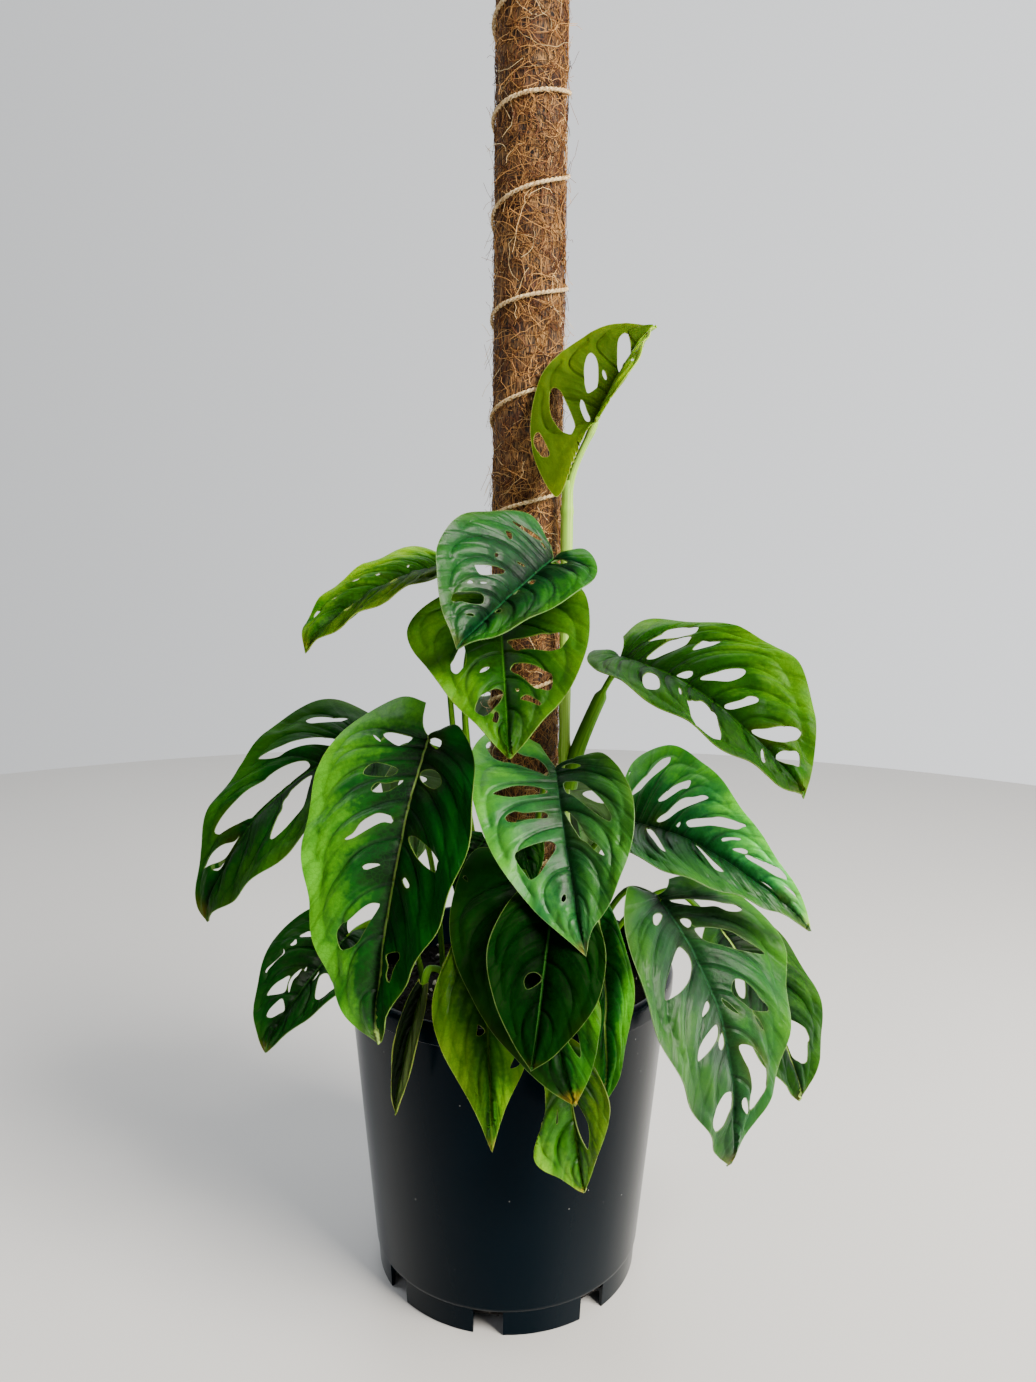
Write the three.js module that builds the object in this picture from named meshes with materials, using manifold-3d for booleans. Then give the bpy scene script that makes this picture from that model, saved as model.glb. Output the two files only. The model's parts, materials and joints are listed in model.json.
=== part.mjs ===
// A Swiss cheese vine climbing a coir pole in a nursery pot.
// Millimetres, +Z up, the pot standing on z = 0.

import * as THREE from "three";
import { mergeVertices } from "three/addons/utils/BufferGeometryUtils.js";
import Module from "manifold-3d";

const wasm = await Module();
wasm.setup();

// Where the pot's axis stands from the middle of the whole plant's box.
const POT_AXIS = { x: 0.6, y: 7.3 };

// The pot: a 200 mm nursery pot with a skirt and drainage notches.
const POT = {
  height: 190,
  baseRadius: 80.5,
  skirtHeight: 15.5,
  skirtStep: 0.8,
  wallTopRadius: 97,
  bandBottom: 178,
  bandRadius: 100,
  wall: 2,
  floorUnderside: 8,
  floorThickness: 2.5,
  sides: 56,
};
const NOTCH = { count: 8, width: 17, height: 15.5, firstAngle: -96.8 };
const SOIL = { top: 165, mound: 5, gap: 0.4, sides: 40 };

// The pole: coir bound round a stake, with jute twine wound up it.
const POLE = { x: 8, y: 10, radius: 20, bottom: 42, top: 748, chamfer: 2.5, sides: 28 };
// passes: the height of the twine where each turn reaches the right side of the pole.
const TWINE = {
  radius: 1.2,
  clear: 0.75,
  turns: 10.3,
  stepsPerTurn: 16,
  endTurn: -0.9,
  backLift: 6,
  passes: [151, 205, 259, 313, 368, 422, 476, 540, 588, 649, 693, 750],
};
const GAP = 0.35;

// Stems and leaf stalks.
const STEM_RADIUS = 3.6;
const STALK_RADIUS = 2;
const STALK_SIDES = 6;
const STALK_STEPS = 8;
const STALK_END = new THREE.Vector2(0, 0.025);
const BLADE_THICKNESS = 0.9;
const ROOTED_AT = 128;

// The vein law: how the side veins are spread along the midrib and along the edge.
const VEIN = { midribPower: 1.8, edgePower: 0.8, bend: 0.45, sweep: 0.28, rows: 3 };
const WAVE = { edge: 0.012, bulge: 0.012, turns: 3.1 };
const HOLE_POINTS = 6;

// The two rooted stems, each a path from the soil upwards.
const STEMS = {
  stem_climbing: [[34, -12, ROOTED_AT], [32.5, -10.5, 240], [31.5, -9.5, 330], [31, -8.5, 400], [31, -7.5, 478]],
  stem_left: [[-27, 4, ROOTED_AT], [-28, 3, 240], [-26, 1, 318]],
};

// Each leaf: joint and tip in millimetres from the pot's axis, and face, the way its upper side looks.
// fold raises both halves about the midrib, in degrees. arch lifts the midrib, as a part of the length.
// left and right are the edges as seen with the tip hanging down: [across, along], as parts of the length.
// holes are [vein number, from, to, width], where from and to run from midrib 0 to edge 1.
// stalk is the path of the leaf stalk before the joint.
const LEAVES = {
  leaf_top: {
    joint: [45.5, -14, 510], tip: [83, 21, 571], face: [-0.39, -0.69, 0.61], fold: 40, arch: 0.05, veins: 6,
    left: [[0.08, 0], [0.19, 0.1], [0.32, 0.23], [0.32, 0.42], [0.18, 0.7]],
    right: [[0.03, -0.26], [0.04, -0.56], [0.13, -0.58], [0.32, -0.43], [0.44, -0.2], [0.47, 0.07], [0.43, 0.31],
      [0.36, 0.54], [0.24, 0.75], [0.12, 0.9]],
    holesLeft: [],
    holesRight: [[1.1, 0.6, 0.9, 0.4], [2, 0.18, 0.34, 0.5], [2, 0.45, 0.85, 0.8], [3.2, 0.26, 0.68, 0.7],
      [4, 0.14, 0.26, 0.4], [4.8, 0.15, 0.62, 0.7]],
    stalk: [[31, -8, 470], [35, -9, 486]],
  },
  leaf_upper: {
    joint: [23, -28, 434], tip: [-27, -92, 389], face: [0.22, -0.67, 0.71], fold: 25, arch: 0.03, veins: 7,
    left: [[0.09, -0.04], [0.29, -0.05], [0.5, 0.3], [0.48, 0.66], [0.2, 0.92]],
    right: [[0.03, -0.09], [0.13, -0.15], [0.33, 0.05], [0.35, 0.3], [0.26, 0.6], [0.14, 0.84]],
    holesLeft: [[1, 0.33, 0.75, 0.25], [2.1, 0.5, 0.62, 0.4], [4, 0.3, 0.58, 0.6], [4.7, 0.38, 0.6, 0.35],
      [5.3, 0.33, 0.78, 0.7], [6, 0.3, 0.53, 0.3]],
    holesRight: [[3.5, 0.12, 0.22, 0.4], [5.4, 0.1, 0.2, 0.4]],
    stalk: [[31, -8.5, 396], [33, -20, 418]],
  },
  leaf_bright: {
    joint: [-7, -28, 410], tip: [0, -105, 336], face: [-0.04, -0.7, 0.72], fold: 8, arch: 0, veins: 6,
    left: [[0.15, -0.08], [0.33, 0.02], [0.48, 0.24], [0.37, 0.5], [0.17, 0.8]],
    right: [[0.2, -0.08], [0.42, 0.02], [0.45, 0.27], [0.36, 0.58], [0.17, 0.83]],
    holesLeft: [[2.8, 0.35, 0.73, 0.7], [3.7, 0.28, 0.48, 0.4], [4.5, 0.18, 0.83, 0.8]],
    holesRight: [[2.6, 0.15, 0.78, 0.75], [3.75, 0.15, 0.8, 0.75], [4.5, 0.4, 0.78, 0.6]],
    stalk: [[-26, 1, 312], [-28, 0, 360], [-21, -6, 398]],
  },
  leaf_far_left: {
    joint: [-39, -5, 429], tip: [-110, -60, 383], face: [-0.21, -0.45, 0.87], fold: 10, arch: 0.1, veins: 7,
    left: [[0.1, -0.08], [0.25, -0.02], [0.28, 0.12], [0.24, 0.35], [0.22, 0.6], [0.14, 0.88]],
    right: [[0.1, -0.06], [0.22, 0.1], [0.24, 0.3], [0.23, 0.55], [0.14, 0.76], [0.06, 0.9]],
    holesLeft: [[2, 0.4, 0.7, 0.6], [3.1, 0.43, 0.83, 0.6], [4.7, 0.5, 0.8, 0.5], [5.5, 0.5, 0.85, 0.6]],
    holesRight: [[3.8, 0.2, 0.5, 0.3], [5.4, 0.2, 0.5, 0.3]],
    stalk: [[-27, 2, 285], [-35, 4, 330], [-40, 5, 395]],
  },
  leaf_upper_right: {
    joint: [62, -22, 378], tip: [148, -100, 316], face: [0.09, -0.56, 0.82], fold: 20, arch: 0.12, veins: 8,
    left: [[0.08, -0.08], [0.26, 0.02], [0.35, 0.26], [0.34, 0.5], [0.25, 0.74], [0.1, 0.92]],
    right: [[0.1, -0.08], [0.24, -0.08], [0.3, 0.1], [0.37, 0.49], [0.32, 0.72], [0.14, 0.92]],
    holesLeft: [[3.7, 0.45, 0.72, 0.75], [4.6, 0.4, 0.55, 0.35], [5.4, 0.45, 0.88, 0.85], [6.9, 0.35, 0.6, 0.3]],
    holesRight: [[1.4, 0.43, 0.9, 0.7], [2.2, 0.15, 0.68, 0.7], [3.2, 0.43, 0.75, 0.6], [4.1, 0.12, 0.25, 0.4],
      [4.8, 0.25, 0.62, 0.7], [5.7, 0.12, 0.5, 0.6], [6.5, 0.2, 0.83, 0.75], [7.2, 0.2, 0.75, 0.7]],
    stalk: [[34, -10, 300], [40, -13, 325], [54, -18, 360]],
  },
  leaf_outer_left: {
    joint: [-85, 22, 318], tip: [-177, -30, 222], face: [-0.32, -0.62, 0.72], fold: 11, arch: 0.2, veins: 7,
    left: [[0.15, -0.12], [0.35, -0.06], [0.37, 0.1], [0.26, 0.4], [0.2, 0.7], [0.09, 0.95]],
    right: [[0.15, -0.05], [0.36, 0.15], [0.35, 0.42], [0.32, 0.62], [0.18, 0.84]],
    holesLeft: [[0.9, 0.5, 0.8, 0.5], [2.2, 0.3, 0.9, 0.55], [4.2, 0.25, 0.75, 0.8], [5.7, 0.2, 0.7, 0.7]],
    holesRight: [[3, 0.2, 0.8, 0.7], [4.1, 0.2, 0.5, 0.5]],
    stalk: [[-40, 20, ROOTED_AT], [-48, 24, 230], [-68, 26, 300]],
  },
  leaf_large: {
    joint: [-45, -50, 336], tip: [-67, -105, 185], face: [-0.47, -0.8, 0.36], fold: 15, arch: 0.06, veins: 9,
    left: [[0.04, -0.12], [0.15, -0.13], [0.3, 0], [0.35, 0.2], [0.33, 0.42], [0.25, 0.68], [0.11, 0.92]],
    right: [[0.06, -0.02], [0.15, -0.03], [0.28, 0.13], [0.32, 0.34], [0.25, 0.6], [0.1, 0.83]],
    holesLeft: [[1.1, 0.2, 0.53, 0.55], [1.7, 0.5, 0.62, 0.3], [2.6, 0.25, 0.55, 0.8], [3.3, 0.2, 0.43, 0.6],
      [4.35, 0.2, 0.6, 0.6], [5.5, 0.2, 0.36, 0.3], [6.6, 0.2, 0.75, 0.8]],
    holesRight: [[0.9, 0.1, 0.42, 0.5], [2.7, 0.1, 0.5, 0.6], [4.5, 0.25, 0.78, 0.7], [5.6, 0.33, 0.5, 0.5],
      [7.1, 0.45, 0.75, 0.35]],
    stalk: [[-22, -18, ROOTED_AT], [-26, -22, 240], [-34, -36, 310]],
  },
  leaf_centre: {
    joint: [25, -46, 319], tip: [39, -113, 237], face: [-0.2, -0.76, 0.62], fold: 15, arch: 0.1, veins: 7,
    left: [[0.07, -0.17], [0.28, -0.34], [0.43, -0.2], [0.44, 0.1], [0.37, 0.47], [0.21, 0.77]],
    right: [[0.11, 0], [0.27, 0.03], [0.37, 0.26], [0.35, 0.51], [0.2, 0.77], [0.06, 0.9]],
    holesLeft: [[1.2, 0.2, 0.8, 0.7], [2.8, 0.15, 0.7, 0.6], [3.6, 0.2, 0.68, 0.65], [4.7, 0.2, 0.75, 0.85],
      [5.9, 0.25, 0.4, 0.4]],
    holesRight: [[0.8, 0.2, 0.45, 0.4], [2.7, 0.15, 0.7, 0.75], [3.9, 0.15, 0.7, 0.4]],
    stalk: [[12, -24, ROOTED_AT], [13, -25, 240], [18, -34, 300]],
  },
  leaf_mid_right: {
    joint: [70, -20, 282], tip: [158, -90, 243], face: [-0.19, -0.65, 0.74], fold: 30, arch: 0.17, veins: 9,
    left: [[0.1, 0.02], [0.26, 0.12], [0.32, 0.3], [0.28, 0.54], [0.15, 0.76]],
    right: [[0.12, -0.15], [0.34, -0.2], [0.41, -0.02], [0.36, 0.24], [0.2, 0.6], [0.08, 0.9]],
    holesLeft: [[2.6, 0.2, 0.68, 0.7], [5.4, 0.2, 0.62, 0.6], [6.5, 0.15, 0.5, 0.5], [7.6, 0.2, 0.6, 0.5]],
    holesRight: [[1.3, 0.5, 0.83, 0.7], [2.7, 0.35, 0.68, 0.7], [3.7, 0.15, 0.72, 0.75], [5.1, 0.23, 0.83, 0.7],
      [6, 0.3, 0.58, 0.5], [6.6, 0.33, 0.55, 0.5], [7.2, 0.45, 0.88, 0.6]],
    stalk: [[34, -10, 225], [44, -13, 255], [58, -16, 274]],
  },
  leaf_low_right: {
    joint: [80, -70, 254], tip: [113, -118, 128], face: [0.51, -0.75, 0.41], fold: 10, arch: 0.17, veins: 8,
    left: [[0.08, -0.03], [0.15, -0.05], [0.28, 0.1], [0.36, 0.37], [0.28, 0.66], [0.12, 0.89]],
    right: [[0.08, -0.05], [0.17, -0.04], [0.33, 0.07], [0.37, 0.25], [0.31, 0.48], [0.2, 0.73], [0.09, 0.88]],
    holesLeft: [[1.6, 0.2, 0.48, 0.35], [3.4, 0.18, 0.7, 0.85], [4.4, 0.2, 0.4, 0.4], [5.1, 0.23, 0.68, 0.6],
      [5.7, 0.12, 0.3, 0.5], [6.6, 0.25, 0.85, 0.7]],
    holesRight: [[1.4, 0.2, 0.78, 0.5], [2.7, 0.15, 0.38, 0.4], [2.7, 0.5, 0.8, 0.5], [4, 0.3, 0.42, 0.5],
      [4, 0.52, 0.8, 0.6], [4.9, 0.15, 0.62, 0.5], [6.1, 0.33, 0.9, 0.85]],
    stalk: [[40, -36, ROOTED_AT], [48, -44, 210], [64, -58, 252]],
  },
  leaf_behind_right: {
    joint: [125, -20, 216], tip: [166, -60, 131], face: [0.51, -0.66, 0.56], fold: 8, arch: 0.1, veins: 6,
    left: [[0.1, -0.05], [0.3, 0.08], [0.36, 0.35], [0.3, 0.66], [0.11, 0.9]],
    right: [[0.1, -0.06], [0.3, 0.08], [0.35, 0.34], [0.31, 0.67], [0.15, 0.9]],
    holesLeft: [[2.5, 0.3, 0.7, 0.6], [4, 0.3, 0.6, 0.6]],
    holesRight: [[2.6, 0.3, 0.7, 0.5], [4.3, 0.5, 0.88, 0.8]],
    stalk: [[52, 2, ROOTED_AT], [62, 0, 200], [96, -8, 236]],
  },
  leaf_low_left: {
    joint: [-97, -10, 207], tip: [-138, -55, 154], face: [-0.18, -0.67, 0.72], fold: 20, arch: 0.08, veins: 6,
    left: [[0.1, -0.12], [0.28, -0.1], [0.38, 0.12], [0.39, 0.38], [0.25, 0.76], [0.1, 0.94]],
    right: [[0.1, -0.1], [0.3, 0], [0.37, 0.2], [0.35, 0.45], [0.17, 0.76]],
    holesLeft: [[1.4, 0.48, 0.68, 0.6], [2.6, 0.5, 0.9, 0.35], [3.7, 0.33, 0.75, 0.7], [4.7, 0.33, 0.68, 0.7]],
    holesRight: [[2.9, 0.3, 0.8, 0.7]],
    stalk: [[-50, -4, ROOTED_AT], [-56, -4, 190], [-78, -6, 214]],
  },
  leaf_olive: {
    joint: [-16, -70, 247], tip: [-7, -116, 133], face: [0.1, -0.95, 0.33], fold: 5, arch: 0.11, veins: 6,
    left: [[0.04, 0], [0.11, 0.12], [0.22, 0.36], [0.2, 0.56], [0.08, 0.8]],
    right: [[0.05, 0], [0.1, 0.15], [0.17, 0.42], [0.15, 0.65], [0.06, 0.82]],
    holesLeft: [[3.9, 0.2, 0.45, 0.4]],
    holesRight: [],
    stalk: [[-18, -44, ROOTED_AT], [-18, -48, 210], [-17, -62, 240]],
  },
  leaf_long_front: {
    joint: [6, -69, 266], tip: [34, -127, 165], face: [-0.2, -0.93, 0.3], fold: 8, arch: 0.06, veins: 7,
    left: [[0.06, -0.12], [0.2, -0.14], [0.35, 0.14], [0.31, 0.5], [0.18, 0.78], [0.08, 0.92]],
    right: [[0.03, 0], [0.06, 0.12], [0.13, 0.3], [0.2, 0.5], [0.21, 0.7], [0.1, 0.9]],
    holesLeft: [],
    holesRight: [[5.5, 0.5, 0.78, 0.6]],
    stalk: [[2, -40, ROOTED_AT], [2, -44, 220], [4, -58, 258]],
  },
  leaf_small_front: {
    joint: [23, -88, 260], tip: [12, -132, 186], face: [0.05, -0.96, 0.27], fold: 14, arch: 0.05, veins: 5,
    left: [[0.08, -0.06], [0.24, 0.05], [0.36, 0.37], [0.28, 0.66], [0.13, 0.87]],
    right: [[0.06, -0.06], [0.2, 0], [0.34, 0.3], [0.32, 0.6], [0.14, 0.88]],
    holesLeft: [[3, 0.15, 0.55, 0.75]],
    holesRight: [],
    stalk: [[26, -52, ROOTED_AT], [27, -56, 200], [26, -74, 250]],
  },
  leaf_narrow_right: {
    joint: [54, -75, 253], tip: [53, -118, 158], face: [0.87, -0.45, 0.2], fold: 10, arch: 0.05, veins: 4,
    left: [[0.05, -0.04], [0.13, 0.15], [0.17, 0.5], [0.13, 0.8]],
    right: [[0.05, -0.04], [0.13, 0.14], [0.17, 0.48], [0.1, 0.8]],
    holesLeft: [],
    holesRight: [],
    stalk: [[40, -52, ROOTED_AT], [43, -56, 210], [50, -66, 244]],
  },
  leaf_lowest: {
    joint: [29, -108, 187], tip: [40, -122, 115], face: [-0.17, -0.98, 0.11], fold: 14, arch: 0.03, veins: 5,
    left: [[0.06, -0.05], [0.15, 0.08], [0.18, 0.4], [0.3, 0.7], [0.14, 0.88]],
    right: [[0.06, -0.05], [0.17, 0.06], [0.28, 0.4], [0.12, 0.77]],
    holesLeft: [],
    holesRight: [[3, 0.15, 0.65, 0.7]],
    stalk: [[12, -62, ROOTED_AT], [14, -70, 186], [23, -96, 204]],
  },
  leaf_curled_left: {
    joint: [-45, -84, 208], tip: [-59, -98, 142], face: [-0.6, -0.75, 0.2], fold: 30, arch: 0.06, veins: 4,
    left: [[0.05, -0.04], [0.1, 0.15], [0.11, 0.5], [0.06, 0.8]],
    right: [[0.05, -0.04], [0.1, 0.14], [0.12, 0.45], [0.07, 0.8]],
    holesLeft: [],
    holesRight: [],
    stalk: [[-32, -56, ROOTED_AT], [-34, -60, 196], [-42, -76, 214]],
  },
  leaf_young_left: {
    joint: [-14, -40, 276], tip: [-30, -60, 250], face: [-0.2, -0.7, 0.7], fold: 18, arch: 0.08, veins: 4,
    left: [[0.1, -0.08], [0.28, 0.02], [0.34, 0.3], [0.26, 0.66]],
    right: [[0.1, -0.08], [0.28, 0.02], [0.34, 0.3], [0.26, 0.66]],
    holesLeft: [],
    holesRight: [],
    stalk: [[-11, -27, ROOTED_AT], [-12, -30, 230]],
  },
  leaf_young_right: {
    joint: [2, -34, 282], tip: [14, -54, 254], face: [0.2, -0.7, 0.7], fold: 18, arch: 0.08, veins: 4,
    left: [[0.1, -0.08], [0.28, 0.02], [0.34, 0.3], [0.26, 0.66]],
    right: [[0.1, -0.08], [0.28, 0.02], [0.34, 0.3], [0.26, 0.66]],
    holesLeft: [],
    holesRight: [],
    stalk: [[0, -20, ROOTED_AT], [-1, -22, 240]],
  },
  leaf_back_left: {
    joint: [-35, 62, 300], tip: [-70, 118, 215], face: [-0.3, 0.8, 0.5], fold: 16, arch: 0.12, veins: 6,
    left: [[0.1, -0.12], [0.3, -0.1], [0.38, 0.15], [0.35, 0.48], [0.17, 0.82]],
    right: [[0.1, -0.12], [0.3, -0.1], [0.38, 0.15], [0.35, 0.48], [0.17, 0.82]],
    holesLeft: [[2.4, 0.25, 0.72, 0.7], [3.8, 0.25, 0.7, 0.7]],
    holesRight: [[1.6, 0.3, 0.7, 0.6], [3.1, 0.25, 0.75, 0.7]],
    stalk: [[-18, 40, ROOTED_AT], [-23, 46, 240]],
  },
  leaf_back_right: {
    joint: [30, 66, 290], tip: [55, 126, 205], face: [0.25, 0.82, 0.5], fold: 16, arch: 0.12, veins: 6,
    left: [[0.1, -0.12], [0.3, -0.1], [0.38, 0.15], [0.35, 0.48], [0.17, 0.82]],
    right: [[0.1, -0.12], [0.3, -0.1], [0.38, 0.15], [0.35, 0.48], [0.17, 0.82]],
    holesLeft: [[1.6, 0.3, 0.7, 0.6], [3.1, 0.25, 0.75, 0.7]],
    holesRight: [[2.4, 0.25, 0.72, 0.7], [3.8, 0.25, 0.7, 0.7]],
    stalk: [[20, 42, ROOTED_AT], [24, 50, 230]],
  },
  leaf_back_middle: {
    joint: [-5, 54, 345], tip: [-12, 122, 298], face: [0, 0.6, 0.8], fold: 14, arch: 0.14, veins: 6,
    left: [[0.1, -0.1], [0.3, -0.05], [0.38, 0.2], [0.33, 0.52], [0.16, 0.84]],
    right: [[0.1, -0.1], [0.3, -0.05], [0.38, 0.2], [0.33, 0.52], [0.16, 0.84]],
    holesLeft: [[2.2, 0.25, 0.7, 0.7], [3.8, 0.3, 0.7, 0.6]],
    holesRight: [[2.9, 0.25, 0.72, 0.7]],
    stalk: [[2, 42, ROOTED_AT], [0, 42, 280]],
  },
};

// A point on one half of a leaf, as parts of the leaf's length: out runs from the midrib to the edge.
function halfPoint(half, out, vein) {
  const share = vein / half.veins;
  const edge = half.outline.getPointAt(Math.min(1, share ** VEIN.edgePower));
  const start = share ** VEIN.midribPower;
  const bendAcross = VEIN.bend * edge.x;
  const bendAlong = start + VEIN.sweep * (edge.y - start);
  const mix = 2 * out * (1 - out);
  const across = mix * bendAcross + out * out * edge.x;
  const along = (1 - out) ** 2 * start + mix * bendAlong + out * out * edge.y;
  return new THREE.Vector2(half.side * across, along);
}

function makeHalf(leaf, side) {
  const points = side > 0 ? leaf.right : leaf.left;
  const outline = new THREE.SplineCurve([...points, [0, 1]].map(([x, y]) => new THREE.Vector2(x, y)));
  const holes = side > 0 ? leaf.holesRight : leaf.holesLeft;
  return { side, outline, holes, veins: leaf.veins };
}

// Side veins run halfway between neighbouring rows of holes, about one vein number apart.
function veinLines(half) {
  const rows = [...new Set(half.holes.map((hole) => hole[0]))].sort((p, q) => p - q);
  const marks = [-0.5, ...rows, half.veins + 0.5];
  const lines = [0];
  for (let i = 0; i + 1 < marks.length; i += 1) {
    const span = marks[i + 1] - marks[i];
    const count = Math.max(1, Math.round(span));
    for (let k = 0; k < count; k += 1) {
      const line = marks[i] + ((k + 0.5) * span) / count;
      if (line > 0.35 && line < half.veins - 0.45) lines.push(line);
    }
  }
  return [...lines, half.veins];
}

// A leaf's own axes: across to its right half, along to the tip, and up from its upper face.
function leafAxes(leaf) {
  const joint = new THREE.Vector3(...leaf.joint);
  const along = new THREE.Vector3(...leaf.tip).sub(joint);
  const length = along.length();
  along.normalize();
  const up = new THREE.Vector3(...leaf.face);
  up.addScaledVector(along, -up.dot(along)).normalize();
  const across = new THREE.Vector3().crossVectors(up, along);
  return { joint, along, up, across, length };
}

// The place in space of a point of the flat blade.
function bladePlace(leaf, axes, flat, ripple) {
  const fold = THREE.MathUtils.degToRad(leaf.fold);
  const lift = Math.abs(flat.x) * Math.sin(fold) + leaf.arch * 4 * flat.y * (1 - flat.y) + ripple;
  return axes.joint
    .clone()
    .addScaledVector(axes.across, flat.x * Math.cos(fold) * axes.length)
    .addScaledVector(axes.along, flat.y * axes.length)
    .addScaledVector(axes.up, lift * axes.length);
}

// A one sided sheet of the leaf: shared points, and triangles cut between the veins and round the holes.
function bladeSheet(leaf, axes) {
  const points = [];
  const flats = [];
  const index = new Map();
  const triangles = [];
  const addPoint = (half, out, vein, middle) => {
    const flat = halfPoint(half, out, vein);
    const key = `${flat.x.toFixed(4)},${flat.y.toFixed(4)}`;
    if (!index.has(key)) {
      const wave = WAVE.edge * Math.sin(WAVE.turns * vein + leaf.veins) * out * out;
      index.set(key, points.length);
      flats.push(flat);
      points.push(bladePlace(leaf, axes, flat, wave + (middle ? WAVE.bulge : 0)));
    }
    return index.get(key);
  };
  const halves = [makeHalf(leaf, -1), makeHalf(leaf, 1)];
  const lines = halves.map(veinLines);
  const midrib = [...new Set(lines.flat())].sort((p, q) => p - q);
  halves.forEach((half, h) => {
    for (let i = 0; i + 1 < lines[h].length; i += 1) {
      const [low, high] = [lines[h][i], lines[h][i + 1]];
      const loop = midrib.filter((v) => v >= low && v <= high).map((v) => addPoint(half, 0, v));
      for (let k = 1; k <= VEIN.rows; k += 1) loop.push(addPoint(half, k / VEIN.rows, high));
      loop.push(addPoint(half, 1, (low + high) / 2, true));
      for (let k = VEIN.rows; k > 0; k -= 1) loop.push(addPoint(half, k / VEIN.rows, low));
      const contour = loop.filter((p, k) => p !== loop[(k + 1) % loop.length]);
      const rings = half.holes
        .filter(([vein]) => vein > low && vein < high)
        .map(([, from, to, width]) => holeRing(addPoint, half, low, high, from, to, width));
      const flatOf = (ring) => ring.map((p) => flats[p]);
      const faces = THREE.ShapeUtils.triangulateShape(flatOf(contour), rings.map(flatOf));
      const all = [contour, ...rings].flat();
      for (const face of faces) triangles.push(turned(face.map((k) => all[k]), flats));
    }
  });
  return { points, triangles };
}

// The points round one hole between two veins, narrower towards the midrib.
function holeRing(addPoint, half, low, high, from, to, width) {
  const ring = [];
  for (let k = 0; k < HOLE_POINTS; k += 1) {
    const turn = ((k + 0.5) / HOLE_POINTS) * 2 * Math.PI;
    const out = (from + to) / 2 + ((to - from) / 2) * Math.cos(turn) * 1.1;
    const spread = (width / 2) * Math.sin(turn) * (1 + 0.2 * Math.cos(turn));
    ring.push(addPoint(half, out, low + (high - low) * (0.5 + spread), true));
  }
  return ring;
}

// Every triangle turned the same way round on the flat blade.
function turned(face, flats) {
  const [p, q, r] = face.map((k) => flats[k]);
  const area = (q.x - p.x) * (r.y - p.y) - (q.y - p.y) * (r.x - p.x);
  return area > 0 ? face : [face[0], face[2], face[1]];
}

// The blade: the sheet moved out to both faces alike, with a wall along every free edge.
function bladeGeometry(leaf, axes) {
  const sheet = bladeSheet(leaf, axes);
  const count = sheet.points.length;
  const normals = sheet.points.map(() => new THREE.Vector3());
  const free = new Map();
  for (const [p, q, r] of sheet.triangles) {
    const side1 = sheet.points[q].clone().sub(sheet.points[p]);
    const side2 = sheet.points[r].clone().sub(sheet.points[p]);
    const normal = side1.cross(side2);
    for (const k of [p, q, r]) normals[k].add(normal);
    for (const [a, b] of [[p, q], [q, r], [r, p]]) {
      if (!free.delete(`${b},${a}`)) free.set(`${a},${b}`, [a, b]);
    }
  }
  const position = [];
  for (const shift of [0.5, -0.5]) {
    sheet.points.forEach((point, k) => {
      const moved = point.clone().addScaledVector(normals[k].clone().normalize(), shift * BLADE_THICKNESS);
      position.push(moved.x, moved.y, moved.z);
    });
  }
  const faces = [];
  for (const [p, q, r] of sheet.triangles) faces.push(p, q, r, p + count, r + count, q + count);
  for (const [a, b] of free.values()) faces.push(b, a, a + count, b, a + count, b + count);
  const geometry = new THREE.BufferGeometry();
  geometry.setAttribute("position", new THREE.Float32BufferAttribute(position, 3));
  geometry.setIndex(faces);
  return geometry;
}

// A round bar with flat ends along a smooth path.
function tube(points, radius, sides, steps) {
  const section = new THREE.Shape();
  for (let k = 0; k < sides; k += 1) {
    const turn = (k / sides) * 2 * Math.PI;
    section[k ? "lineTo" : "moveTo"](radius * Math.cos(turn), radius * Math.sin(turn));
  }
  const path = new THREE.CatmullRomCurve3(points.map((p) => new THREE.Vector3(...p)));
  return new THREE.ExtrudeGeometry(section, { steps, extrudePath: path });
}

function toSolid(geometry) {
  const bare = geometry.clone();
  bare.deleteAttribute("normal");
  bare.deleteAttribute("uv");
  const merged = mergeVertices(bare, 1e-4);
  return new wasm.Manifold(
    new wasm.Mesh({
      numProp: 3,
      vertProperties: new Float32Array(merged.attributes.position.array),
      triVerts: new Uint32Array(merged.index.array),
    }),
  );
}

function toGeometry(solid) {
  const mesh = solid.getMesh();
  const geometry = new THREE.BufferGeometry();
  geometry.setAttribute("position", new THREE.BufferAttribute(mesh.vertProperties, 3));
  geometry.setIndex(new THREE.BufferAttribute(mesh.triVerts, 1));
  return geometry;
}

const plant = new THREE.Group();

function addMesh(name, solid, colour, roughness) {
  const material = new THREE.MeshStandardMaterial({ color: colour, roughness, metalness: 0 });
  const mesh = new THREE.Mesh(toGeometry(solid), material);
  mesh.name = name;
  plant.add(mesh);
}

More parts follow.
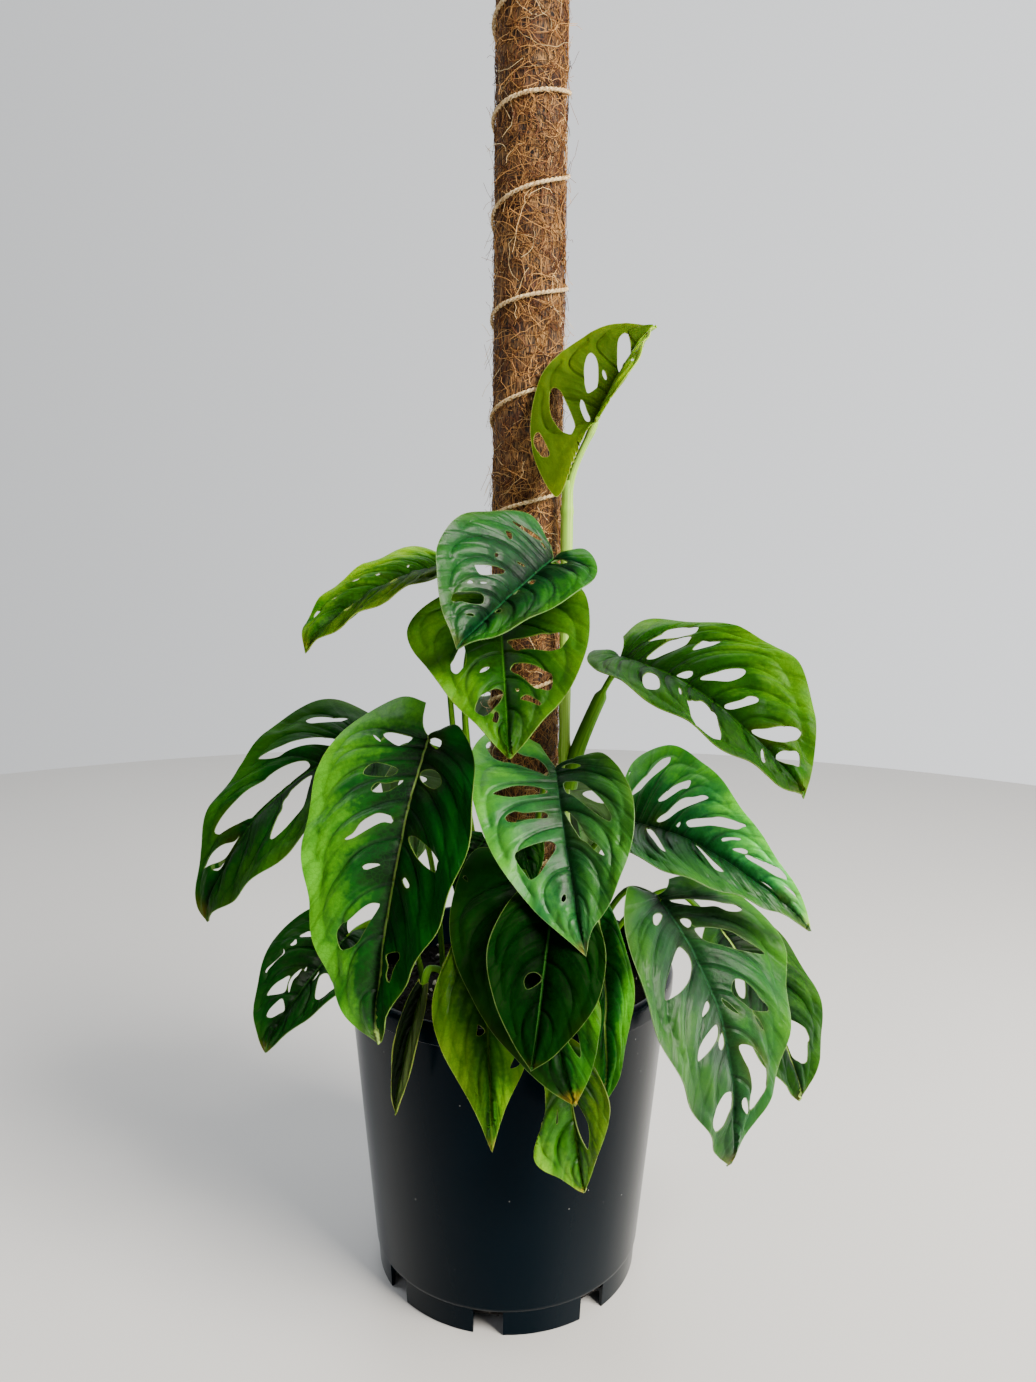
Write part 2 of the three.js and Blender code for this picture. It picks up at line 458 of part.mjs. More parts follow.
// The pot's wall, floor and rim turned from one profile, then its drainage notches cut.
function potSolid() {
  const { wall, bandBottom, bandRadius, height, floorUnderside, baseRadius, skirtHeight, skirtStep } = POT;
  const floorTop = floorUnderside + POT.floorThickness;
  const innerTop = POT.wallTopRadius - wall;
  const profile = [
    [0, floorTop],
    [0, floorUnderside],
    [baseRadius - wall, floorUnderside],
    [baseRadius - wall, 0],
    [baseRadius, 0],
    [baseRadius + 1, skirtHeight],
    [baseRadius + 1 + skirtStep, skirtHeight + 0.8],
    [POT.wallTopRadius, bandBottom],
    [bandRadius, bandBottom + 0.2],
    [bandRadius + 0.3, height - 4],
    [bandRadius - 1, height - 0.8],
    [bandRadius - 2.6, height],
    [innerTop, height - 1.5],
    [innerTop, bandBottom],
    [baseRadius - 0.6, floorTop],
  ];
  const points = profile.map(([r, z]) => new THREE.Vector2(r, z));
  const turnedShape = new THREE.LatheGeometry([...points, points[0]], POT.sides);
  turnedShape.rotateX(Math.PI / 2);
  let solid = toSolid(turnedShape);
  for (let k = 0; k < NOTCH.count; k += 1) {
    const cutter = new THREE.BoxGeometry(24, NOTCH.width, 2 * NOTCH.height);
    cutter.translate(baseRadius, 0, 0);
    cutter.rotateZ(THREE.MathUtils.degToRad(NOTCH.firstAngle + (360 * k) / NOTCH.count));
    solid = solid.subtract(toSolid(cutter));
  }
  return solid;
}

// The potting mix, mounded a little towards the middle.
function soilSolid() {
  const floor = POT.floorUnderside + POT.floorThickness + SOIL.gap;
  const radiusAt = (z) => {
    const share = (z - POT.skirtHeight) / (POT.bandBottom - POT.skirtHeight);
    return POT.baseRadius - 0.6 + share * (POT.wallTopRadius - POT.wall - POT.baseRadius + 0.6) - 2 * SOIL.gap;
  };
  const profile = [
    [0, floor],
    [radiusAt(floor), floor],
    [radiusAt(SOIL.top), SOIL.top],
    [radiusAt(SOIL.top) * 0.7, SOIL.top + SOIL.mound * 0.4],
    [radiusAt(SOIL.top) * 0.35, SOIL.top + SOIL.mound],
    [0, SOIL.top + SOIL.mound],
  ];
  const shape = new THREE.LatheGeometry(profile.map(([r, z]) => new THREE.Vector2(r, z)), SOIL.sides);
  shape.rotateX(Math.PI / 2);
  return toSolid(shape);
}

function poleSolid() {
  const { radius, chamfer } = POLE;
  const profile = [[0, POLE.bottom], [radius, POLE.bottom], [radius, POLE.top - chamfer],
    [radius - chamfer, POLE.top], [0, POLE.top]];
  const shape = new THREE.LatheGeometry(profile.map(([r, z]) => new THREE.Vector2(r, z)), POLE.sides);
  shape.rotateX(Math.PI / 2);
  shape.translate(POLE.x, POLE.y, 0);
  return toSolid(shape);
}

// The height of the twine after a number of turns, faster across the back of the pole than the front.
function twineHeight(turns) {
  const low = Math.floor(turns);
  const rise = TWINE.passes[low + 1] ?? TWINE.passes[low];
  const base = THREE.MathUtils.lerp(TWINE.passes[low], rise, turns - low);
  return base + (TWINE.backLift / 2) * (1 - Math.cos(turns * 2 * Math.PI));
}

function twineSolid() {
  const steps = Math.round(TWINE.turns * TWINE.stepsPerTurn);
  const radius = POLE.radius + TWINE.radius + TWINE.clear;
  const points = [];
  for (let k = 0; k <= steps; k += 1) {
    const turn = ((k - steps) / TWINE.stepsPerTurn) * 2 * Math.PI + TWINE.endTurn;
    const z = twineHeight(TWINE.passes.length - 1 + turn / (2 * Math.PI));
    points.push([POLE.x + radius * Math.cos(turn), POLE.y + radius * Math.sin(turn), z]);
  }
  return toSolid(tube(points, TWINE.radius, 5, steps));
}

// The same path with its foot a little lower, so that a hole is deeper than what stands in it.
function deeper(path, extra) {
  const [x, y, z] = path[0];
  return [[x, y, z - extra], ...path.slice(1)];
}

function stemSolid(path, extra) {
  return toSolid(tube(deeper(path, extra), STEM_RADIUS + extra, 8, 10));
}

// The stalk runs on a little way under the blade, so that the two are one piece.
function stalkSolid(leaf, axes, extra) {
  const end = bladePlace(leaf, axes, STALK_END, 0).addScaledVector(axes.up, -0.7);
  const path = [...deeper(leaf.stalk, extra), end.toArray()];
  return toSolid(tube(path, STALK_RADIUS + extra, STALK_SIDES, STALK_STEPS));
}

const LEAF_COLOURS = {
  leaf_top: "#7ea61a", leaf_bright: "#5c9020", leaf_far_left: "#6c9422", leaf_upper_right: "#5a941c",
  leaf_large: "#3f8a2c", leaf_olive: "#56801f",
};

addMesh("pot", potSolid(), "#1d2330", 0.45);

let soil = soilSolid();
const pole = poleSolid();
for (const [name, path] of Object.entries(STEMS)) {
  soil = soil.subtract(stemSolid(path, GAP));
  addMesh(name, stemSolid(path, 0), "#7fa04a", 0.5);
}
const stemRoom = Object.values(STEMS).map((path) => stemSolid(path, GAP));
for (const [name, leaf] of Object.entries(LEAVES)) {
  const axes = leafAxes(leaf);
  let solid = toSolid(bladeGeometry(leaf, axes)).add(stalkSolid(leaf, axes, 0));
  for (const room of stemRoom) solid = solid.subtract(room);
  const whole = solid.decompose().sort((p, q) => q.volume() - p.volume())[0];
  if (leaf.stalk[0][2] === ROOTED_AT) soil = soil.subtract(stalkSolid(leaf, axes, GAP));
  addMesh(name, whole, LEAF_COLOURS[name] ?? "#1f5a33", 0.4);
}
const poleRoom = new THREE.CylinderGeometry(POLE.radius + GAP, POLE.radius + GAP, POLE.top, POLE.sides);
poleRoom.rotateX(Math.PI / 2);
poleRoom.translate(POLE.x, POLE.y, POLE.top / 2 + POLE.bottom - GAP);
addMesh("soil", soil.subtract(toSolid(poleRoom)), "#2a2320", 0.95);
addMesh("coir_pole", pole, "#8a5a34", 0.9);
addMesh("jute_twine", twineSolid(), "#b79a6b", 0.9);

plant.position.set(POT_AXIS.x, POT_AXIS.y, 0);

export default plant;
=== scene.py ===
"""A Swiss cheese vine climbing a coir pole in a nursery pot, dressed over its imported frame."""

import json
import math

import bmesh
import bpy
import numpy as np
from bpy.props import FloatProperty, FloatVectorProperty, IntProperty, PointerProperty
from mathutils import Matrix, Vector, noise
from mathutils.geometry import delaunay_2d_cdt


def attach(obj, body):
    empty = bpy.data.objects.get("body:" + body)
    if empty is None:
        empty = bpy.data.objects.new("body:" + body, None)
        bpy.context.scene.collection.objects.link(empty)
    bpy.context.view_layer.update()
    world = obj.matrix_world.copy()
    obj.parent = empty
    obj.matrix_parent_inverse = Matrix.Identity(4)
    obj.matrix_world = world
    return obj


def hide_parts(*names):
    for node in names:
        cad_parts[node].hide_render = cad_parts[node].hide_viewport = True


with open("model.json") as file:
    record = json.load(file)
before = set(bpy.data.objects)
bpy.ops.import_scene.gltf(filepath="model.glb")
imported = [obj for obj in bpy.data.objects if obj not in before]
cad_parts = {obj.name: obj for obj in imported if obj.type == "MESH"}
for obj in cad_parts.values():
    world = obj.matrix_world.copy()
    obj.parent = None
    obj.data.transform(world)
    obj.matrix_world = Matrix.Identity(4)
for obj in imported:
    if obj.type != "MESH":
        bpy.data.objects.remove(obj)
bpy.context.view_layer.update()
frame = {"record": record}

bl_info = {
    "name": "Potted Swiss cheese vine",
    "version": (1, 0, 0),
    "blender": (4, 5, 0),
    "location": "View3D > Sidebar > Vine",
    "description": "Makes the leaves, stems, pole, pot and mix of a potted Swiss cheese vine",
    "category": "Object",
}

# The pot's axis in the frame. Every length below is in millimetres from it, unless it says otherwise.
POT_AXIS = np.array((0.6, 7.3, 0.0))

# How side veins are spread along the midrib and along the edge, how far they bow, and how far they sweep
# towards the tip. The first veins of a blade bow less and sweep more.
VEIN = {"midrib_power": 1.8, "edge_power": 0.68, "bend": 0.62, "sweep": 0.14, "first_bend": 0.45,
        "first_sweep": 0.28}
# A blade's waves, as shares of its length, and how fast the edge's wave runs from vein to vein.
WAVE = {"edge": 0.014, "bulge": 0.013, "camber": 0.02, "turns": 3.1}
# The steps in which a blade's edge is held.
EDGE_STEPS = 400

# The pot, from the foot of its skirt to its rim.
NOTCHES = {"count": 8, "radius": 80.5, "depth": 24, "width": 17, "height": 15.5, "first_angle": -96.8}
POT_PROFILE = [
    (0, 10.5), (0, 8), (78.5, 8), (78.5, 0.4), (78.9, 0), (80.2, 0), (80.5, 0.4), (80.6, 1.8), (81.4, 13.8),
    (81.5, 15.2), (81.9, 15.7), (82.3, 16.3), (82.42, 17.6), (89.7, 97), (96.88, 176.1), (97, 177.4),
    (97.4, 178), (99.6, 178.1), (100, 178.6), (100.3, 186), (99.9, 188), (99, 189.2), (98.2, 189.8),
    (97.4, 190), (96, 189.6), (95.2, 189), (95, 188.2), (95, 178), (94.3, 170), (80.2, 13.5), (79.4, 11.4),
    (78.2, 10.5),
]

# The pole, and the twine wound up it. PASSES are its heights where it crosses the pole's right side.
POLE = {"x": 8, "y": 10, "radius": 20, "bottom": 42, "top": 748}
TWINE = {"path_radius": 21.95, "turns": 10.3, "end_turn": -0.9, "back_lift": 6, "ply_radius": 0.72,
         "ply_offset": 0.55, "twist": 6.4}
PASSES = [151, 205, 259, 313, 368, 422, 476, 540, 588, 649, 693, 750]

# The pole's loose fibres, in metres. They start at the bottom given and cover the height.
CLAD = {"Bottom": 0.166, "Height": 0.58}
FIBRES = {
    "brown_fibres": {"Shortest": 0.009, "Longest": 0.026, "Thickness": 0.00017, "Stray": 0.003, "Seed": 21},
    "golden_fibres": {"Shortest": 0.009, "Longest": 0.034, "Thickness": 0.00012, "Stray": 0.008, "Seed": 22},
}

# The two rooted stems, each a path from the mix upwards, and the rings where leaves once grew.
STEM = {"radius": 3.45, "ring_spacing": 46, "ring_rise": 0.55, "ring_width": 2.2}
STEMS = {
    "stem_climbing": [(34, -12, 128), (32.5, -10.5, 240), (31.5, -9.5, 330), (31, -8.5, 400),
                      (31, -7.5, 478)],
    "stem_left": [(-27, 4, 128), (-28, 3, 240), (-26, 1, 318)],
}

# The top of the mix in square metres.
MIX_AREA = 0.027

# The lamps: place and width in metres, power in watts, and colour. All of them aim at the plant.
AIM = (0, 0, 0.35)
LAMPS = {
    "window_light": ((1.25, -0.95, 1.55), 1.0, 125, "#fff8ee"),
    "side_light": ((0.95, 0.12, 0.16), 0.3, 3, "#ffffff"),
    "room_light": ((-1.2, -1.6, 1.6), 1.0, 5, "#eef3ff"),
    "left_light": ((-0.95, 0.25, 1.35), 0.5, 6, "#f4f8ff"),
    "back_light": ((-0.2, 1.6, 2.1), 1.4, 12, "#f4f8ff"),
}
# The camera: place in metres, tilt from straight down and turn in degrees, lens and sensor in millimetres.
CAMERA = {"place": (0.0044, -0.5827, 0.433), "tilt": 82.5, "turn": 0.57, "lens": 26, "sensor": 36}
# The leaves. A leaf has the point where stalk and blade join, the tip, the way its face looks, the fold
# along its midrib in degrees, its arch, its side veins, the outline of each half as shares of the length,
# and its stalk's route. A hole's outline is in thousandths of the length, across the midrib and along it.
# The look has a tone; depth, lime and gloss for the left and right halves, for how light, how patched with
# lime and how glossy they are; and yellow, for how far the tip has turned. Depth is painted light and shade:
# it makes a half that lies in the light lighter and a half that lies in shade darker. A turned half shows its
# underside by that share.
LEAVES = {
    "leaf_top": {
        "gloss": (0.05, 0.02), "tone": "young", "depth": (1.5, 0.32), "lime": (0.9, 0.8), "yellow": 0.1,
        "joint": (45.5, -14, 510), "tip": (83, 21, 571), "face": (-0.39, -0.69, 0.61),
        "fold": 40, "arch": 0.05, "veins": 6,
        "left": [(0.08, 0), (0.19, 0.1), (0.32, 0.23), (0.32, 0.42), (0.18, 0.7)],
        "right": [(0.03, -0.26), (0.04, -0.56), (0.13, -0.58), (0.32, -0.43), (0.44, -0.2), (0.47, 0.07),
            (0.43, 0.31), (0.36, 0.54), (0.24, 0.75), (0.12, 0.9)],
        "stalk": [(31, -8, 470), (35, -9, 486)],
        "holes": [
            [(368, -16), (372, 24), (356, 44), (320, 52), (280, 36), (152, -64), (112, -108), (104, -148),
                (112, -184), (180, -192), (224, -184), (304, -132)],
            [(148, 60), (148, 84), (120, 76), (80, 36), (40, 4), (36, -28), (60, -32), (96, -8), (128, 24)],
            [(208, 264), (232, 324), (248, 392), (240, 436), (204, 432), (160, 392), (120, 324), (96, 264),
                (92, 212), (120, 148), (152, 172), (184, 216)],
            [(100, 344), (104, 372), (88, 368), (64, 344), (56, 316), (76, 320)],
            [(116, 632), (128, 700), (120, 760), (92, 752), (44, 692), (12, 620), (12, 572), (20, 520),
                (12, 480), (16, 440), (40, 468), (60, 508)],
            [(352, -352), (356, -312), (344, -288), (312, -292), (200, -376), (240, -420), (284, -408),
                (328, -384)],
            [(-132, 468), (-124, 492), (-200, 440), (-256, 388), (-216, 400)],
        ],
    },
    "leaf_upper": {
        "gloss": (0.28, 0.08), "tone": "deep", "depth": (0.78, 0.52), "lime": (0.2, 1), "yellow": 0.1,
        "joint": (23, -28, 434), "tip": (-27, -92, 389), "face": (0.22, -0.67, 0.71),
        "fold": 25, "arch": 0.03, "veins": 7,
        "left": [(0.09, -0.04), (0.29, -0.05), (0.5, 0.3), (0.48, 0.66), (0.2, 0.92)],
        "right": [(0.03, -0.09), (0.13, -0.15), (0.33, 0.05), (0.35, 0.3), (0.26, 0.6), (0.14, 0.84)],
        "stalk": [(31, -8.5, 396), (33, -20, 418)],
        "holes": [
            [(-312, 92), (-200, 32), (-152, 12), (-116, 4), (-128, 24), (-172, 52), (-288, 100)],
            [(-116, 24), (-96, 12), (-64, 16), (-76, 24), (-100, 28)],
            [(-288, 216), (-276, 192), (-256, 184), (-232, 208), (-236, 228), (-264, 228)],
            [(-228, 396), (-224, 380), (-208, 376), (-204, 392), (-212, 408)],
            [(-116, 292), (-92, 264), (-68, 252), (-76, 272), (-100, 292)],
            [(-248, 576), (-244, 560), (-176, 464), (-144, 432), (-120, 416), (-112, 444), (-128, 480),
                (-192, 576)],
            [(-208, 688), (-212, 664), (-200, 652), (-184, 656), (-192, 672)],
            [(-160, 620), (-148, 596), (-128, 576), (-136, 600), (-152, 620)],
            [(-224, 800), (-216, 776), (-160, 696), (-128, 664), (-96, 656), (-80, 668), (-68, 700),
                (-112, 760), (-180, 816), (-204, 828)],
            [(-84, 844), (-76, 816), (-56, 796), (-48, 804), (-64, 828)],
            [(24, 72), (24, 36), (52, 16), (96, 24), (120, 56), (100, 80), (60, 84)],
            [(20, 328), (20, 304), (44, 300), (60, 320), (64, 356), (40, 348)],
            [(12, 476), (12, 436), (12, 420), (32, 444), (24, 468), (12, 476)],
            [(12, 660), (12, 636), (28, 636), (56, 664), (52, 684), (32, 680)],
        ],
    },
    "leaf_bright": {
        "tone": "bright", "depth": (0.78, 0.46), "lime": (0.75, 0.8), "yellow": 0.1,
        "joint": (-7, -28, 410), "tip": (0, -105, 336), "face": (-0.04, -0.7, 0.72),
        "fold": 8, "arch": 0, "veins": 6,
        "left": [(0.15, -0.08), (0.33, 0.02), (0.48, 0.24), (0.37, 0.5), (0.17, 0.8)],
        "right": [(0.2, -0.08), (0.42, 0.02), (0.45, 0.27), (0.36, 0.58), (0.17, 0.83)],
        "stalk": [(-26, 1, 312), (-28, 0, 360), (-21, -6, 398)],
        "holes": [
            [(28, 292), (108, 304), (160, 304), (216, 296), (304, 308), (336, 340), (292, 408), (268, 420),
                (228, 424), (124, 380), (68, 368), (44, 332)],
            [(32, 488), (44, 464), (64, 460), (148, 488), (220, 540), (236, 568), (228, 632), (200, 648),
                (156, 640), (136, 624), (80, 548), (48, 516)],
            [(72, 688), (100, 672), (124, 680), (152, 704), (168, 728), (156, 740), (132, 724), (80, 704)],
            [(-268, 460), (-248, 428), (-232, 388), (-200, 324), (-184, 416), (-188, 456), (-224, 512),
                (-240, 516), (-256, 500)],
            [(-120, 520), (-112, 496), (-92, 480), (-72, 476), (-76, 492), (-96, 512)],
            [(-152, 736), (-132, 676), (-116, 652), (-60, 616), (-24, 612), (-12, 632), (-36, 700),
                (-80, 764), (-108, 776), (-132, 768)],
            [(-72, 808), (-64, 784), (-56, 756), (-40, 760), (-40, 788), (-52, 816)],
            [(52, 624), (64, 628), (68, 640), (60, 648), (52, 636)],
        ],
    },
    "leaf_far_left": {
        "gloss": (0.03, 0.03), "tone": "olive", "depth": (1.05, 0.42), "lime": (1, 0.9), "yellow": 0.2,
        "joint": (-39, -5, 429), "tip": (-110, -60, 383), "face": (-0.21, -0.45, 0.87),
        "fold": 10, "arch": 0.1, "veins": 7,
        "left": [(0.1, -0.08), (0.25, -0.02), (0.28, 0.12), (0.24, 0.35), (0.22, 0.6), (0.14, 0.88)],
        "right": [(0.1, -0.06), (0.22, 0.1), (0.24, 0.3), (0.23, 0.55), (0.14, 0.76), (0.06, 0.9)],
        "stalk": [(-27, 2, 285), (-35, 4, 330), (-40, 5, 395)],
        "holes": [
            [(-156, 544), (-136, 520), (-120, 480), (-116, 508), (-132, 536)],
            [(-84, 412), (-88, 380), (-72, 388), (-72, 408)],
            [(-52, 220), (-64, 196), (-52, 204), (-44, 220)],
            [(-124, 692), (-124, 664), (-112, 664), (-108, 680)],
            [(-136, 644), (-124, 628), (-108, 628), (-116, 640)],
            [(-140, 820), (-152, 788), (-140, 772), (-120, 780), (-116, 796), (-120, 820)],
            [(103, 429), (93, 435), (74, 419), (54, 390), (41, 366), (42, 354), (57, 357), (79, 375),
                (98, 404)],
            [(51, 710), (44, 723), (34, 716), (25, 695), (20, 672), (21, 657), (29, 653), (41, 663),
                (50, 686)],
        ],
    },
    "leaf_upper_right": {
        "tone": "bright", "depth": (0.38, 0.66), "lime": (0.2, 0.75), "yellow": 0.1,
        "joint": (62, -22, 378), "tip": (148, -100, 316), "face": (0.09, -0.56, 0.82),
        "fold": 20, "arch": 0.12, "sheath": 2.8, "veins": 8,
        "left": [(0.03, -0.13), (0.14, -0.07), (0.25, 0.03), (0.35, 0.26), (0.34, 0.5), (0.25, 0.74),
            (0.1, 0.92)],
        "right": [(0.1, -0.08), (0.24, -0.08), (0.3, 0.1), (0.37, 0.49), (0.32, 0.72), (0.14, 0.92)],
        "stalk": [(34, -10, 300), (40, -13, 325), (54, -18, 360)],
        "holes": [
            [(112, 52), (160, 64), (208, 68), (236, 88), (256, 116), (264, 152), (260, 184), (248, 196),
                (224, 196), (196, 176), (116, 76)],
            [(32, 116), (112, 124), (156, 140), (200, 196), (172, 212), (140, 208), (72, 172), (36, 148)],
            [(144, 260), (192, 252), (212, 256), (228, 288), (252, 320), (232, 324), (200, 316), (140, 272)],
            [(12, 296), (40, 316), (52, 340), (40, 352), (20, 344), (12, 320)],
            [(48, 388), (64, 392), (100, 420), (136, 440), (172, 472), (184, 492), (176, 508), (152, 516),
                (116, 504), (84, 476), (44, 404)],
            [(-196, 272), (-144, 256), (-132, 272), (-132, 296), (-168, 336), (-244, 388), (-268, 352),
                (-256, 324)],
            [(-144, 416), (-120, 408), (-144, 432), (-180, 456), (-176, 444)],
            [(-188, 496), (-164, 484), (-140, 484), (-132, 500), (-96, 516), (-104, 580), (-168, 656),
                (-208, 692), (-232, 680), (-280, 628), (-284, 608)],
            [(16, 548), (64, 584), (96, 596), (112, 616), (112, 632), (92, 636), (32, 596), (12, 568)],
            [(12, 696), (52, 740), (120, 776), (152, 824), (144, 836), (116, 836), (80, 824), (52, 804),
                (28, 772), (12, 732)],
            [(-72, 800), (-52, 796), (-72, 820), (-84, 840), (-96, 828)],
            [(12, 828), (88, 868), (76, 900), (60, 912), (40, 912), (24, 896), (12, 868)],
        ],
    },
    "leaf_outer_left": {
        "gloss": (0.04, 0.04), "tone": "mature", "depth": (0.72, 0.56), "lime": (0.35, 0.4), "yellow": 0.2,
        "joint": (-85, 22, 318), "tip": (-177, -30, 222), "face": (-0.32, -0.62, 0.72),
        "fold": 11, "arch": 0.2, "veins": 7,
        "left": [(0.15, -0.12), (0.35, -0.06), (0.37, 0.1), (0.26, 0.4), (0.2, 0.7), (0.09, 0.95)],
        "right": [(0.15, -0.05), (0.36, 0.15), (0.35, 0.42), (0.32, 0.62), (0.18, 0.84)],
        "stalk": [(-40, 20, 128), (-48, 24, 230), (-68, 26, 300)],
        "holes": [
            [(-268, 120), (-276, 96), (-264, 64), (-228, 24), (-184, -16), (-192, 44), (-212, 88),
                (-236, 120)],
            [(-216, 376), (-180, 284), (-168, 236), (-132, 140), (-96, 104), (-52, 92), (-56, 132),
                (-96, 180), (-120, 224), (-140, 280), (-152, 328), (-196, 376)],
            [(-36, 260), (-64, 284), (-88, 404), (-92, 456), (-104, 512), (-112, 584), (-132, 708),
                (-104, 716), (-80, 688), (-24, 596), (-12, 548), (-12, 304)],
            [(40, 296), (56, 392), (76, 420), (84, 452), (128, 480), (144, 516), (208, 592), (224, 532),
                (208, 436), (188, 400), (140, 356), (92, 320)],
            [(-100, 856), (-96, 824), (-48, 740), (-16, 696), (-12, 664), (-12, 748), (-20, 780),
                (-40, 812), (-68, 840)],
            [(-32, 832), (-16, 808), (-12, 780), (-12, 796), (-16, 820)],
        ],
    },
    "leaf_large": {
        "gloss": (0.26, 0.03), "tone": "fresh", "depth": (0.95, 0.34), "lime": (1, 0), "yellow": 0.1,
        "joint": (-45, -50, 336), "tip": (-67, -105, 185), "face": (-0.47, -0.8, 0.36),
        "fold": 15, "arch": 0.06, "veins": 9,
        "left": [(0.04, -0.12), (0.15, -0.13), (0.3, 0), (0.35, 0.2), (0.33, 0.42), (0.25, 0.68),
            (0.11, 0.92)],
        "right": [(0.06, -0.02), (0.15, -0.03), (0.28, 0.13), (0.32, 0.34), (0.25, 0.6), (0.1, 0.83)],
        "stalk": [(-22, -18, 128), (-26, -22, 240), (-34, -36, 310)],
        "holes": [
            [(-184, 16), (-164, 24), (-144, 40), (-164, 32)],
            [(-148, 12), (-124, 0), (-52, 8), (-60, 32), (-80, 44), (-104, 40)],
            [(-176, 148), (-168, 124), (-136, 112), (-68, 124), (-72, 144), (-96, 156), (-164, 160)],
            [(-132, 200), (-120, 180), (-88, 180), (-36, 160), (-68, 200), (-100, 212), (-124, 212)],
            [(-180, 380), (-152, 356), (-136, 320), (-112, 296), (-84, 280), (-40, 288), (-40, 308),
                (-72, 312), (-148, 372)],
            [(-96, 460), (-80, 448), (-44, 444), (-60, 456), (-84, 468)],
            [(-156, 712), (-160, 676), (-144, 648), (-116, 632), (-60, 576), (-32, 568), (-28, 580),
                (-60, 664), (-84, 704), (-116, 724), (-140, 728)],
            [(12, 16), (38, 9), (68, 12), (96, 24), (88, 44), (60, 44)],
            [(16, 140), (28, 124), (72, 120), (116, 132), (148, 164), (140, 184), (108, 184), (48, 164)],
            [(48, 352), (64, 344), (108, 352), (208, 404), (212, 424), (196, 448), (124, 416), (80, 384)],
            [(64, 484), (80, 476), (108, 500), (96, 508), (76, 496)],
            [(40, 720), (80, 704), (88, 720), (72, 748), (60, 800), (48, 780), (52, 752)],
        ],
    },
    "leaf_centre": {
        "gloss": (0.3, 0.2), "tone": "blue", "depth": (1.35, 0.74), "lime": (0.8, 0.5), "yellow": 0.3,
        "joint": (25, -46, 319), "tip": (39, -113, 237), "face": (-0.2, -0.76, 0.62),
        "fold": 15, "arch": 0.1, "veins": 7,
        "left": [(0.07, -0.17), (0.28, -0.34), (0.43, -0.2), (0.44, 0.1), (0.37, 0.47), (0.21, 0.77)],
        "right": [(0.11, 0), (0.27, 0.03), (0.37, 0.26), (0.35, 0.51), (0.2, 0.77), (0.06, 0.9)],
        "stalk": [(12, -24, 128), (13, -25, 240), (18, -34, 300)],
        "holes": [
            [(-360, -196), (-336, -236), (-288, -228), (-224, -152), (-160, -88), (-96, -60), (-52, -8),
                (-36, 48), (-48, 68), (-92, 36), (-216, -36), (-272, -56), (-324, -100)],
            [(-328, 160), (-252, 128), (-208, 120), (-140, 128), (-88, 144), (-56, 160), (-64, 180),
                (-172, 192), (-232, 196), (-288, 184)],
            [(-280, 308), (-264, 288), (-228, 276), (-180, 292), (-104, 292), (-72, 300), (-68, 324),
                (-96, 332), (-160, 332), (-220, 344), (-264, 336)],
            [(-252, 508), (-216, 488), (-100, 460), (-60, 464), (-52, 500), (-120, 588), (-160, 628),
                (-196, 640), (-216, 612), (-252, 540)],
            [(-60, 740), (-44, 724), (-40, 744), (-52, 764), (-64, 760)],
            [(32, 140), (48, 128), (112, 156), (156, 200), (196, 264), (232, 340), (252, 404), (244, 432),
                (216, 412), (164, 352), (80, 236), (44, 196)],
            [(20, 308), (40, 312), (64, 352), (88, 404), (108, 464), (128, 504), (160, 536), (184, 596),
                (144, 560), (112, 512), (76, 468)],
            [(36, 24), (92, 28), (144, 64), (96, 64)],
        ],
    },
    "leaf_mid_right": {
        "gloss": (0.3, 0.25), "tone": "blue", "depth": (0.68, 3.2), "lime": (0.3, 0.8), "yellow": 0.1,
        "joint": (70, -20, 282), "tip": (158, -90, 243), "face": (-0.19, -0.65, 0.74),
        "fold": 30, "arch": 0.17, "veins": 9,
        "left": [(0.1, 0.02), (0.26, 0.12), (0.32, 0.3), (0.28, 0.54), (0.15, 0.76)],
        "right": [(0.12, -0.15), (0.34, -0.2), (0.41, -0.02), (0.36, 0.24), (0.2, 0.6), (0.08, 0.9)],
        "stalk": [(34, -10, 225), (44, -13, 255), (58, -16, 274)],
        "holes": [
            [(124, -52), (148, -72), (236, -52), (324, -8), (344, 20), (348, 44), (328, 60), (296, 52),
                (204, 0)],
            [(274, -184), (280, -176), (240, -164)],
            [(116, 116), (132, 112), (200, 144), (244, 204), (248, 232), (212, 236), (196, 208), (132, 160),
                (116, 136)],
            [(24, 160), (44, 164), (80, 192), (120, 212), (152, 236), (176, 288), (200, 320), (208, 344),
                (196, 348), (100, 256), (56, 224), (32, 196)],
            [(32, 272), (52, 284), (40, 292), (28, 288)],
            [(56, 316), (72, 324), (100, 364), (124, 412), (152, 456), (176, 568), (156, 564), (132, 544),
                (92, 444), (68, 396), (48, 344)],
            [(60, 508), (72, 516), (108, 580), (96, 580), (80, 552), (56, 520)],
            [(48, 572), (68, 596), (80, 620), (80, 636), (64, 628), (52, 596)],
            [(60, 632), (72, 648), (80, 684), (110, 777), (91, 828), (76, 808), (64, 768), (52, 664)],
            [(52, 828), (60, 848), (64, 872), (56, 896), (52, 868)],
            [(12, 732), (16, 772), (12, 816), (12, 840), (12, 800), (12, 756)],
            [(-52, 148), (-40, 152), (-68, 204), (-168, 332), (-200, 368), (-192, 332), (-156, 276),
                (-104, 204)],
            [(-28, 420), (-24, 432), (-52, 484), (-76, 544), (-84, 588), (-96, 612), (-116, 600),
                (-112, 560), (-52, 452)],
        ],
    },
    "leaf_low_right": {
        "gloss": (0.3, 0.16), "tone": "blue", "depth": (0.5, 0.74), "lime": (0.5, 0.7), "yellow": 0.3,
        "joint": (80, -70, 254), "tip": (113, -118, 128), "face": (0.51, -0.75, 0.41),
        "fold": 10, "arch": 0.17, "veins": 8,
